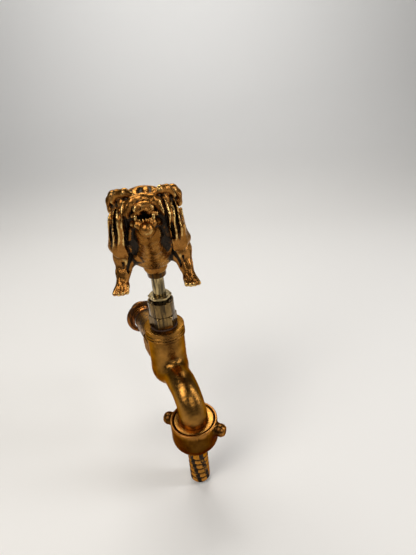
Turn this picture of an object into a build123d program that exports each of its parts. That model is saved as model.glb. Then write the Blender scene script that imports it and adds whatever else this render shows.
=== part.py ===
from build123d import *
import math
import os

# A brass hose bib: a screw-down valve on a wall pipe, with a bulldog figure for a handle
# and a hose union on the spout. The origin is the inlet pipe's axis at the wall's face,
# +Y goes into the wall, -Y is the way the spout reaches, and +Z is up along the spindle.
# All sizes are in millimetres.

# ---- Inlet ----
WALL_TO_SPINDLE = 70.0
INLET_THREAD_R = 10.48          # half inch pipe thread, over its crests
INLET_THREAD_REACH = 13.0       # how far the thread goes into the wall
INLET_THREAD_START = 1.2        # how much thread stands in front of the wall's face
SOCKET_THREAD_R = 10.3          # the pipe's other thread, screwed tight into the body
THREAD_PITCH = 1.814
THREAD_DEPTH = 1.0
PIPE_R = 10.2
PIPE_BORE_R = 7.4
SOCKET_DEPTH = 14.0             # how deep the pipe screws into the body
THREAD_GAP = 0.1                # radial gap between a male thread and its female one
HEX_INLET_FLATS = 23.6
HEX_INLET_LENGTH = 15.0
HEX_INLET_END = 32.0            # from the spindle's axis to the end of the inlet hexagon
HEX_INLET_CHAMFER = 1.4

# ---- Wall flange ----
FLANGE_R = 16.6
FLANGE_DEPTH = 7.0
FLANGE_WALL = 1.6
FLANGE_NECK_R = 13.0
FLANGE_GAP = 0.25
FLANGE_RIM_H = 1.2              # the straight edge against the wall
FLANGE_ROUND = 0.9              # how far the dome's edge draws in

# ---- Body ----
BARREL_R = 14.9
BARREL_TOP = 33.0
GLOBE_Z = -7.0
COLLAR_R = 15.6
COLLAR_H = 3.0
BEAD_R = 1.1
BEAD_PITCH = 2.7
INLET_NECK_R = 12.0
CHAMBER_R = 12.2
CHAMBER_TOP = 22.0
SEAT_TOP = 9.5
SEAT_CROWN_H = 1.5
SEAT_CROWN_WALL = 1.5
SEAT_BORE_R = 5.5
WATERWAY_R = 7.0
BRIDGE_WALL = 2.0               # metal between the inlet's water and the spout's
CHAMBER_FLOOR = 2.0             # how far the front chamber's floor stands over the spout's
SIDE = 100.0                    # a cutting block bigger than the whole body

# ---- Spout ----
SPOUT_REACH = 45.2
SPOUT_R = 10.7
SPOUT_BEND_R = 20.0
SPOUT_BORE_R = 7.2
SPOUT_COLLAR_R = 15.0
SPOUT_COLLAR_H = 2.5
OUTLET_THREAD_R = 13.2          # three quarter inch pipe thread
OUTLET_THREAD_LEN = 13.3

# ---- Union nut, washer and hose tail ----
NUT_R = 17.9
NUT_RISE = 0.4                  # the nut's rim above the underside of the bend
NUT_RIM_R = 15.9
NUT_RIM_DEPTH = 4.0
NUT_FLOOR = 4.0                 # thickness of the nut's bottom round the tail
NUT_SLACK = 0.3                 # room for the tail's flange to turn in
NUT_LIP = 0.8                   # flat ring round the tail at the nut's mouth
NUT_BOWL_H = 10.5
BOWL_STEPS = 8
LUG_TIP = 26.0                  # from the nut's axis to a lug's end
LUG_R = 4.3
LUG_TIP_R = 4.8
LUG_DROP = 5.5                  # the lugs' middle below the top of the spout's collar
LUG_TURN = -45.0                # where the lugs stand, about the nut's axis
UNION_WASHER_H = 2.0
TAIL_FLANGE_H = 3.0
TAIL_GAP = 0.3
TAIL_R = 8.0                    # over the barbs
TAIL_NECK_R = 7.7
TAIL_ROOT_R = 7.0
TAIL_BORE_R = 4.8
TAIL_LENGTH = 41.6              # below the nut
TAIL_END_CHAMFER = 0.8
TAIL_FLANGE_GAP = 0.5           # the flange is this much smaller than the thread
BARB_PITCH = 5.4
BARB_LAND = 1.8
BARB_COUNT = 5
BARB_STEP = 0.5                 # slope of the step down behind each barb
TAIL_PLAIN = 11.6               # plain neck under the nut

# ---- Bonnet ----
GASKET_H = 0.6
GASKET_R = 10.6
BONNET_THREAD_R = 9.0
BONNET_THREAD_LEN = 12.0
BONNET_FLATS = 19.0
BONNET_HEX_H = 10.2
BONNET_TOP_R = 9.8
BONNET_TOP_H = 11.8
BONNET_RECESS_R = 8.5
BONNET_RECESS_DEPTH = 2.6
BONNET_EDGE = 0.6
HEX_CHAMFER = 0.9
THREAD_RUN_OUT = 2.5            # solid metal under the packing, before the spindle's thread

# ---- Gland ----
GLAND_FLATS = 15.6
GLAND_FLANGE_H = 2.3
GLAND_STANDS = 2.6              # gap between the bonnet's top and the gland nut's flange
GLAND_NECK_R = 6.4
GLAND_THREAD_R = 6.9
GLAND_THREAD_LEN = 3.0
GLAND_CHAMFER = 0.5
GLAND_TURN = 12.0               # how its flats stand
PACKING_RING_H = 1.1
PACKING_RINGS = 3
RING_GAP = 0.04
FOLLOWER_H = 1.0

# ---- Spindle and valve ----
STEM_R = 4.7
RUNNING_GAP = 0.06
SPINDLE_THREAD_R = 6.0
SPINDLE_THREAD_LEN = 20.0
STOP_COLLAR_R = 7.2
STOP_COLLAR_H = 1.2
THREAD_TAPER = 1.3
STEM_TOP = 76.2                 # the shoulder that the handle's socket sits on
SPINDLE_TIP_R = 4.0
SPINDLE_TIP_LEN = 9.5
TIP_CHAMFER = 0.8
JUMPER_R = 8.3
JUMPER_H = 2.0
JUMPER_PIN_R = 2.4
JUMPER_PIN_LEN = 9.0
VALVE_WASHER_R = 8.0
VALVE_WASHER_H = 3.0
STUD_R = 1.6
WASHER_NUT_FLATS = 5.6
WASHER_NUT_H = 2.3
WASHER_NUT_CHAMFER = 0.3
STUD_SHOWS = 0.6                # the stud below its nut
STUD_GAP = 0.02
SPINDLE_REST = 0.1              # the spindle's foot over the jumper's plate

# ---- Handle ----
HANDLE_TURN = -17.0             # the way the figure faces when the valve is shut
HANDLE_SOCKET_R = 7.0
HANDLE_SOCKET_H = 17.0
SOCKET_SHOWS = 7.6              # length of the socket below the figure's belly
GRUB_R = 2.0
GRUB_UP = 3.8
GRUB_SUNK = 0.3
KEY_R = 1.1                     # hexagon key hole in the screw, over its corners
KEY_DEPTH = 1.0
TIP_GAP = 0.05
FIGURE_GAP = 0.05
BELLY_DEPTH = 5.0               # clears the figure's skin under the hole

# Heights that follow from the sizes above.
HEX_BOTTOM = BARREL_TOP + GASKET_H
HEX_TOP = HEX_BOTTOM + BONNET_HEX_H
BONNET_TOP = HEX_TOP + BONNET_TOP_H
BONNET_FOOT = BARREL_TOP - BONNET_THREAD_LEN
GLAND_Z = BONNET_TOP + GLAND_STANDS
OUTLET_TOP = GLOBE_Z - SPOUT_BEND_R
OUTLET_END = OUTLET_TOP - SPOUT_COLLAR_H - OUTLET_THREAD_LEN
NUT_TOP = OUTLET_TOP + NUT_RISE
WASHER_BOTTOM = OUTLET_END - UNION_WASHER_H
TAIL_FLANGE_Z = WASHER_BOTTOM - TAIL_FLANGE_H
NUT_BOTTOM = TAIL_FLANGE_Z - NUT_SLACK - NUT_FLOOR
WASHER_TOP = SEAT_TOP + VALVE_WASHER_H
JUMPER_TOP = WASHER_TOP + JUMPER_H
SPINDLE_FOOT = JUMPER_TOP + SPINDLE_REST
BELLY_Z = STEM_TOP + SOCKET_SHOWS

ON_SPINDLE = Pos(0, -WALL_TO_SPINDLE, 0)
ON_OUTLET = Pos(0, -WALL_TO_SPINDLE - SPOUT_REACH, 0)
ALONG_PIPE = Rot(-90, 0, 0)     # turns +Z into +Y


def turned(profile):
    """A solid turned on a lathe: profile is (radius, height) points, from low to high and back."""
    face = make_face(Polyline(*[(r, 0, z) for r, z in profile], close=True))
    return revolve(face, Axis.Z)


def rod(radius, low, high):
    """A cylinder on the Z axis from one height to another."""
    return Pos(0, 0, low) * Cylinder(radius, high - low, align=(Align.CENTER, Align.CENTER, Align.MIN))


def tube(outer, inner, low, high):
    return rod(outer, low, high) - rod(inner, low - 1, high + 1)


def hexagon(flats, low, high, chamfer=HEX_CHAMFER):
    """A hexagon bar with its two ends turned down to round corners, standing on the Z axis."""
    corner = flats / math.sqrt(3)
    prism = Pos(0, 0, low) * extrude(RegularPolygon(corner, 6), high - low)
    edge = flats / 2
    blank = turned([
        (0, low), (edge, low), (corner + 0.1, low + chamfer),
        (corner + 0.1, high - chamfer), (edge, high), (0, high),
    ])
    return prism & blank


def threaded_rod(radius, low, high):
    """A rod whose thread is cut as rings, with flat crests at the full radius."""
    points = [(0, low), (radius - THREAD_DEPTH, low)]
    half = THREAD_PITCH / 2
    crest = THREAD_PITCH * 0.2
    count = int((high - low - crest) / THREAD_PITCH)
    for i in range(count):
        start = low + i * THREAD_PITCH + half * 0.6
        points += [
            (radius, start), (radius, start + crest),
            (radius - THREAD_DEPTH, start + crest + half * 0.8),
        ]
    points += [(radius - THREAD_DEPTH, high), (0, high)]
    return turned(points)


def elbow(radius):
    """The spout's way from the spindle's axis to the outlet: a level run, then a quarter bend down."""
    level = SPOUT_REACH - SPOUT_BEND_R
    run = Pos(0, 0, GLOBE_Z) * Rot(90, 0, 0) * rod(radius, 0, level)
    centre = (0, -level, GLOBE_Z - SPOUT_BEND_R)
    ring = Plane((0, -level, GLOBE_Z), x_dir=(1, 0, 0), z_dir=(0, -1, 0)) * Circle(radius)
    bend = revolve(ring, Axis(centre, (1, 0, 0)), 90)
    return run + bend


def valve_body():
    globe = Pos(0, 0, GLOBE_Z) * Sphere(BARREL_R)
    barrel = rod(BARREL_R, GLOBE_Z, BARREL_TOP)
    collar = rod(COLLAR_R, BARREL_TOP - COLLAR_H, BARREL_TOP)
    beads = [
        Pos(0, 0, BARREL_TOP - COLLAR_H - BEAD_PITCH * (i + 0.5)) * Torus(BARREL_R - 0.1, BEAD_R)
        for i in range(2)
    ]
    neck = ALONG_PIPE * rod(INLET_NECK_R, 0, HEX_INLET_END - 1)
    inlet_hex = ALONG_PIPE * hexagon(
        HEX_INLET_FLATS, HEX_INLET_END - HEX_INLET_LENGTH, HEX_INLET_END, HEX_INLET_CHAMFER)
    outlet = rod(OUTLET_THREAD_R, OUTLET_END, OUTLET_TOP - 1) + rod(
        SPOUT_COLLAR_R, OUTLET_TOP - SPOUT_COLLAR_H, OUTLET_TOP)
    body = globe + barrel + collar + beads[0] + beads[1] + neck + inlet_hex + elbow(SPOUT_R)
    body += Pos(0, -SPOUT_REACH, 0) * outlet

    # The water comes in below the seat, rises through it, and falls to the spout behind the bridge.
    body -= ALONG_PIPE * rod(WATERWAY_R, 0, HEX_INLET_END + 1)
    body -= ALONG_PIPE * rod(SOCKET_THREAD_R + THREAD_GAP, HEX_INLET_END - SOCKET_DEPTH, HEX_INLET_END + 1)
    body -= Sphere(WATERWAY_R)
    body -= rod(SEAT_BORE_R, 0, BARREL_TOP)
    behind_bridge = Pos(0, SIDE / 2 - WATERWAY_R - BRIDGE_WALL, 0) * Box(SIDE, SIDE, SIDE)
    seat_foot = SEAT_TOP - SEAT_CROWN_H
    chamber = tube(CHAMBER_R, SEAT_BORE_R + SEAT_CROWN_WALL, seat_foot, SEAT_TOP)
    chamber += rod(CHAMBER_R, SEAT_TOP, CHAMBER_TOP)
    front = rod(CHAMBER_R, GLOBE_Z - SPOUT_BORE_R + CHAMBER_FLOOR, SEAT_TOP)
    front -= behind_bridge
    body -= chamber + front
    body -= rod(BONNET_THREAD_R + THREAD_GAP, CHAMBER_TOP - 1, BARREL_TOP + 1)
    body -= elbow(SPOUT_BORE_R) - behind_bridge
    body -= Pos(0, -SPOUT_REACH, 0) * rod(SPOUT_BORE_R, OUTLET_END - 1, OUTLET_TOP)
    return ON_SPINDLE * body


def inlet_pipe():
    """The wall pipe: plain between two threaded ends, one in the body's hexagon and one in the wall."""
    inner = -WALL_TO_SPINDLE + HEX_INLET_END - SOCKET_DEPTH
    inner_end = inner + SOCKET_DEPTH
    pipe = threaded_rod(SOCKET_THREAD_R, inner, inner_end)
    pipe += rod(PIPE_R, inner_end, -INLET_THREAD_START)
    pipe += threaded_rod(INLET_THREAD_R, -INLET_THREAD_START, INLET_THREAD_REACH)
    return ALONG_PIPE * (pipe - rod(PIPE_BORE_R, inner - 1, INLET_THREAD_REACH + 1))


def wall_flange():
    """A hollow domed rose that slips along the pipe; its rim rests against the wall."""
    hole = INLET_THREAD_R + FLANGE_GAP
    dome = [
        (FLANGE_R, -FLANGE_RIM_H), (FLANGE_R - FLANGE_ROUND, -FLANGE_RIM_H - 2 * FLANGE_ROUND),
        (FLANGE_NECK_R, -FLANGE_DEPTH + FLANGE_ROUND), (FLANGE_NECK_R - FLANGE_ROUND, -FLANGE_DEPTH),
    ]
    inside = [
        (FLANGE_NECK_R - FLANGE_WALL, -FLANGE_DEPTH + FLANGE_WALL),
        (FLANGE_R - FLANGE_WALL - FLANGE_ROUND, -FLANGE_RIM_H - FLANGE_ROUND), (FLANGE_R - FLANGE_WALL, 0),
    ]
    profile = [(FLANGE_R, 0)] + dome + [(hole, -FLANGE_DEPTH), (hole, -FLANGE_DEPTH + FLANGE_WALL)] + inside
    return ALONG_PIPE * turned(profile)


def bonnet():
    thread = rod(BONNET_THREAD_R, BONNET_FOOT, HEX_BOTTOM)
    top = turned([
        (0, HEX_TOP), (BONNET_TOP_R, HEX_TOP), (BONNET_TOP_R, BONNET_TOP - BONNET_EDGE),
        (BONNET_TOP_R - BONNET_EDGE, BONNET_TOP), (0, BONNET_TOP),
    ])
    shape = thread + hexagon(BONNET_FLATS, HEX_BOTTOM, HEX_TOP) + top
    neck = packing_bottom() - THREAD_RUN_OUT
    shape -= rod(SPINDLE_THREAD_R + THREAD_GAP, BONNET_FOOT - 1, neck)
    shape -= rod(STEM_R + RUNNING_GAP, neck - 1, BONNET_TOP)
    shape -= rod(GLAND_THREAD_R + THREAD_GAP, packing_bottom(), BONNET_TOP)
    shape -= rod(BONNET_RECESS_R, BONNET_TOP - BONNET_RECESS_DEPTH, BONNET_TOP + 1)
    return ON_SPINDLE * shape


def gland_foot():
    return BONNET_TOP - BONNET_RECESS_DEPTH - GLAND_THREAD_LEN


def packing_bottom():
    return gland_foot() - FOLLOWER_H - PACKING_RINGS * PACKING_RING_H


def bonnet_gasket():
    return ON_SPINDLE * tube(GASKET_R, BONNET_THREAD_R + THREAD_GAP, BARREL_TOP, HEX_BOTTOM)


def gland_nut():
    thread_top = gland_foot() + GLAND_THREAD_LEN
    shape = rod(GLAND_THREAD_R, gland_foot(), thread_top) + rod(GLAND_NECK_R, thread_top, GLAND_Z)
    shape += Rot(0, 0, GLAND_TURN) * hexagon(GLAND_FLATS, GLAND_Z, GLAND_Z + GLAND_FLANGE_H, GLAND_CHAMFER)
    shape -= rod(STEM_R + RUNNING_GAP, gland_foot() - 1, GLAND_Z + GLAND_FLANGE_H + 1)
    return ON_SPINDLE * shape


def gland_follower():
    return ON_SPINDLE * tube(
        GLAND_THREAD_R, STEM_R + RUNNING_GAP, gland_foot() - FOLLOWER_H, gland_foot())


def gland_packing():
    rings = [
        tube(GLAND_THREAD_R, STEM_R + RUNNING_GAP,
             packing_bottom() + i * PACKING_RING_H, packing_bottom() + (i + 1) * PACKING_RING_H - RING_GAP)
        for i in range(PACKING_RINGS)
    ]
    return [ON_SPINDLE * ring for ring in rings]


def spindle():
    collar_top = SPINDLE_FOOT + STOP_COLLAR_H
    thread_top = collar_top + SPINDLE_THREAD_LEN
    tip_end = STEM_TOP + SPINDLE_TIP_LEN
    shape = turned([
        (0, SPINDLE_FOOT), (STOP_COLLAR_R, SPINDLE_FOOT), (STOP_COLLAR_R, collar_top),
        (SPINDLE_THREAD_R, collar_top), (SPINDLE_THREAD_R, thread_top), (STEM_R, thread_top + THREAD_TAPER),
        (STEM_R, STEM_TOP), (SPINDLE_TIP_R, STEM_TOP), (SPINDLE_TIP_R, tip_end - TIP_CHAMFER),
        (SPINDLE_TIP_R - TIP_CHAMFER, tip_end), (0, tip_end),
    ])
    shape -= rod(JUMPER_PIN_R + RUNNING_GAP, SPINDLE_FOOT - 1, JUMPER_TOP + JUMPER_PIN_LEN + 1)
    return ON_SPINDLE * shape


def jumper_valve():
    """The plate that carries the washer; its pin turns freely in the spindle's foot."""
    stud_foot = SEAT_TOP - WASHER_NUT_H - STUD_SHOWS
    shape = rod(STUD_R, stud_foot, WASHER_TOP) + rod(JUMPER_R, WASHER_TOP, JUMPER_TOP)
    shape += rod(JUMPER_PIN_R, JUMPER_TOP, JUMPER_TOP + JUMPER_PIN_LEN)
    return ON_SPINDLE * shape


def jumper_washer():
    return ON_SPINDLE * tube(VALVE_WASHER_R, STUD_R + STUD_GAP, SEAT_TOP, WASHER_TOP)


def washer_nut():
    nut = hexagon(WASHER_NUT_FLATS, SEAT_TOP - WASHER_NUT_H, SEAT_TOP, WASHER_NUT_CHAMFER)
    return ON_SPINDLE * (nut - rod(STUD_R + STUD_GAP, 0, SEAT_TOP + 1))


def handle_socket():
    """The sleeve brazed into the figure's belly; it sits on the spindle's shoulder."""
    top = STEM_TOP + HANDLE_SOCKET_H
    shape = rod(HANDLE_SOCKET_R, STEM_TOP, top)
    shape -= rod(SPINDLE_TIP_R + TIP_GAP, STEM_TOP - 1, STEM_TOP + SPINDLE_TIP_LEN + 1)
    shape -= Pos(0, 0, STEM_TOP + GRUB_UP) * ALONG_PIPE * rod(GRUB_R + TIP_GAP, 0, HANDLE_SOCKET_R + 1)
    return ON_SPINDLE * Rot(0, 0, HANDLE_TURN) * shape


def grub_screw():
    screw = rod(GRUB_R, SPINDLE_TIP_R + TIP_GAP, HANDLE_SOCKET_R - GRUB_SUNK)
    key = extrude(RegularPolygon(KEY_R, 6), KEY_DEPTH + 1)
    screw -= Pos(0, 0, HANDLE_SOCKET_R - GRUB_SUNK - KEY_DEPTH) * key
    return ON_SPINDLE * Rot(0, 0, HANDLE_TURN) * Pos(0, 0, STEM_TOP + GRUB_UP) * ALONG_PIPE * screw


def bead(place, radius):
    """A ball of the figure, at a (forward, left, up) point; its seam faces away from the middle."""
    forward, side, up = place
    return Pos(side, -forward, up) * Rot(0, 0, 180 if side < 0 else 0) * Sphere(radius)


def limb(start, end, start_r, end_r):
    """A tapered round limb between two (forward, left, up) points."""
    a = Vector(start[1], -start[0], start[2])
    b = Vector(end[1], -end[0], end[2])
    along = b - a
    return Plane(a, z_dir=along) * Cone(
        start_r, end_r, along.length, align=(Align.CENTER, Align.CENTER, Align.MIN))


def other_side(place, side):
    return place[0], side * place[1], place[2]


# The figure's trunk, throat and head in one skin, from tail to nose: how far forward each rib is from
# the spindle's axis, the height of its middle, its half width and its half height.
RIBS = (
    (-42, 105, 4.5, 6), (-36, 103, 12, 12.5), (-22, 102.3, 16, 17), (-3, 101.3, 16.5, 17.8),
    (11, 102, 19.5, 19.5), (19, 117, 20, 29), (29, 123, 19.5, 27), (41, 130, 17.5, 18.5),
    (51, 134.5, 11.5, 12.5), (57, 135, 5, 5),
)
# What it has on both sides, at (forward, left, up) points.
LIP = ((37, 11, 139), (39, 16, 113.5), 7.4, 6.0)
BALLS = (
    ((20, 18.5, 140.3), 6.1),      # ear
    ((14, 17.5, 102), 9.5),        # shoulder
    ((-25, 12.5, 99.5), 10.0),     # thigh
)
# Each leg: its top, its ankle, their radii, then the two balls of its paw.
LEGS = (
    ((15, 20, 98), (21.5, 24.5, 82), 7.0, 4.3, ((23, 25, 81.8), 4.7), ((27.5, 25.7, 81.3), 3.6)),
    ((-25, 14.5, 98), (-31, 18, 83), 6.6, 4.1, ((-31.5, 18.2, 82), 4.5), ((-26.8, 18.7, 81.4), 3.7)),
)


def bulldog():
    """The whole figure, one casting, with a blind hole in its belly that the socket is brazed into."""
    shape = loft(
        [Plane((0, -forward, up), x_dir=(1, 0, 0), z_dir=(0, -1, 0)) * Ellipse(half_width, half_height)
         for forward, up, half_width, half_height in RIBS], ruled=True)
    for side in (1, -1):
        top, foot, thick, thin = LIP
        shape += limb(other_side(top, side), other_side(foot, side), thick, thin)
        for place, radius in BALLS:
            shape += bead(other_side(place, side), radius)
    for top, ankle, thick, thin, heel, toes in LEGS:
        for side in (1, -1):
            shape += limb(other_side(top, side), other_side(ankle, side), thick, thin)
            for place, radius in (heel, toes):
                shape += bead(other_side(place, side), radius)
    shape -= rod(HANDLE_SOCKET_R + FIGURE_GAP, BELLY_Z - BELLY_DEPTH, STEM_TOP + HANDLE_SOCKET_H)
    return ON_SPINDLE * Rot(0, 0, HANDLE_TURN) * shape


def union_nut():
    mouth = TAIL_R + NUT_LIP
    outline = [(0, NUT_TOP), (NUT_R, NUT_TOP)]
    for step in range(BOWL_STEPS + 1):
        turn = math.pi / 2 * step / BOWL_STEPS
        height = NUT_BOTTOM + NUT_BOWL_H * (1 - math.sin(turn))
        outline.append((mouth + (NUT_R - mouth) * math.cos(turn), height))
    outline.append((0, NUT_BOTTOM))
    shape = turned(outline)
    tip = LUG_TIP - LUG_TIP_R
    lug = limb((0, NUT_R - 4, 0), (0, tip, 0), LUG_R, LUG_TIP_R) + Pos(tip, 0, 0) * Sphere(LUG_TIP_R)
    for turn in (LUG_TURN, LUG_TURN + 180):
        shape += Rot(0, 0, turn) * Pos(0, 0, OUTLET_TOP - LUG_DROP) * lug
    shape -= rod(NUT_RIM_R, NUT_TOP - NUT_RIM_DEPTH, NUT_TOP + 1)
    shape -= rod(OUTLET_THREAD_R + THREAD_GAP, NUT_BOTTOM + NUT_FLOOR, NUT_TOP)
    shape -= rod(TAIL_R + TAIL_GAP, NUT_BOTTOM - 1, NUT_TOP)
    return ON_OUTLET * shape


def union_washer():
    return ON_OUTLET * tube(OUTLET_THREAD_R - TAIL_FLANGE_GAP, SPOUT_BORE_R, WASHER_BOTTOM, OUTLET_END)


def hose_tail():
    """The barbed tail: its flange is held in the nut, and each barb ends in a short flat land."""
    end = NUT_BOTTOM - TAIL_LENGTH
    flange_r = OUTLET_THREAD_R - TAIL_FLANGE_GAP
    points = [
        (TAIL_BORE_R, WASHER_BOTTOM), (flange_r, WASHER_BOTTOM), (flange_r, TAIL_FLANGE_Z),
        (TAIL_NECK_R, TAIL_FLANGE_Z), (TAIL_NECK_R, NUT_BOTTOM - TAIL_PLAIN),
    ]
    z = NUT_BOTTOM - TAIL_PLAIN
    for _ in range(BARB_COUNT):
        below = z - BARB_PITCH
        points += [(TAIL_ROOT_R, z - BARB_STEP), (TAIL_R, below + BARB_LAND), (TAIL_R, below)]
        z = below
    points += [
        (TAIL_ROOT_R, end + TAIL_END_CHAMFER), (TAIL_ROOT_R - TAIL_END_CHAMFER, end), (TAIL_BORE_R, end),
    ]
    return ON_OUTLET * turned(points)


PIECES = {
    "valve_body": valve_body,
    "inlet_pipe": inlet_pipe,
    "wall_flange": wall_flange,
    "bonnet": bonnet,
    "bonnet_gasket": bonnet_gasket,
    "gland_nut": gland_nut,
    "gland_follower": gland_follower,
    "gland_packing": gland_packing,
    "spindle": spindle,
    "jumper_valve": jumper_valve,
    "jumper_washer": jumper_washer,
    "washer_nut": washer_nut,
    "handle_socket": handle_socket,
    "grub_screw": grub_screw,
    "bulldog_handle": bulldog,
    "union_nut": union_nut,
    "union_washer": union_washer,
    "hose_tail": hose_tail,
}

os.makedirs("parts", exist_ok=True)
for name, make in PIECES.items():
    shape = make()
    if isinstance(shape, list):
        shape = Compound(children=shape)
    export_step(shape, f"parts/{name}.step")
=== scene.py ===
import math

import bpy
import numpy as np
from bpy.props import FloatProperty, FloatVectorProperty, IntProperty, PointerProperty
from mathutils import Matrix, Vector


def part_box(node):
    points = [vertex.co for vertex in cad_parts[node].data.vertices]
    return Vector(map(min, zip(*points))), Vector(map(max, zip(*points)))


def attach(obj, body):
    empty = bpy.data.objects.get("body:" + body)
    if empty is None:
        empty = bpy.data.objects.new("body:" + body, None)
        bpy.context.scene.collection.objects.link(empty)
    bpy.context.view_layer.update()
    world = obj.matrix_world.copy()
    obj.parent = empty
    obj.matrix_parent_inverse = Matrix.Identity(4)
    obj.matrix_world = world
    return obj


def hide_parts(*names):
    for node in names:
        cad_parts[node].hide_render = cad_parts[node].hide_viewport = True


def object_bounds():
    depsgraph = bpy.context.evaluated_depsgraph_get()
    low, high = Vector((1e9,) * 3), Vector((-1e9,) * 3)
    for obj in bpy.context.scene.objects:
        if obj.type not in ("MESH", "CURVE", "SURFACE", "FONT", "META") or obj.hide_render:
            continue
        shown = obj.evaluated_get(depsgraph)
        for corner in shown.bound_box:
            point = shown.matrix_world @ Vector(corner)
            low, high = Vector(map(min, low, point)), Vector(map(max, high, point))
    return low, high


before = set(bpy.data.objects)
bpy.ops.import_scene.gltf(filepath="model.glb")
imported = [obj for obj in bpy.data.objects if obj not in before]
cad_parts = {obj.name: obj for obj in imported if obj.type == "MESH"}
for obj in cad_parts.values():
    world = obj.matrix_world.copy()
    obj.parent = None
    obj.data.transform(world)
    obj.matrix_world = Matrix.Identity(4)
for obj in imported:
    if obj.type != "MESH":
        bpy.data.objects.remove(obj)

bl_info = {
    "name": "Bulldog hose bib",
    "version": (1, 0, 0),
    "blender": (4, 5, 0),
    "location": "3D View > Sidebar > Hose bib",
    "description": "Makes the castings, turned brass and studio of a hose bib with a bulldog handle",
    "category": "Add Mesh",
}

MM = 0.001
CAD_BOX = [list(corner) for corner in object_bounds()]


def middle(node):
    """The centre of a node's box, in millimetres."""
    low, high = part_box(node)
    return np.array((low + high) / 2) / MM


def span(node):
    """The lowest and highest corners of a node's box, in millimetres."""
    low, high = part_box(node)
    return np.array(low) / MM, np.array(high) / MM


SPINDLE = middle("spindle")
OUTLET = middle("hose_tail")
REACH = SPINDLE[1] - OUTLET[1]
# In millimetres: the chamber's floor under the valve's washer, and the seat's bore under the washer's nut.
SEAT_SLACK = 0.15
BORE_BELOW_NUT = 2.0


# ---------------------------------------------------------------- clay: shapes from distances

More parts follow.
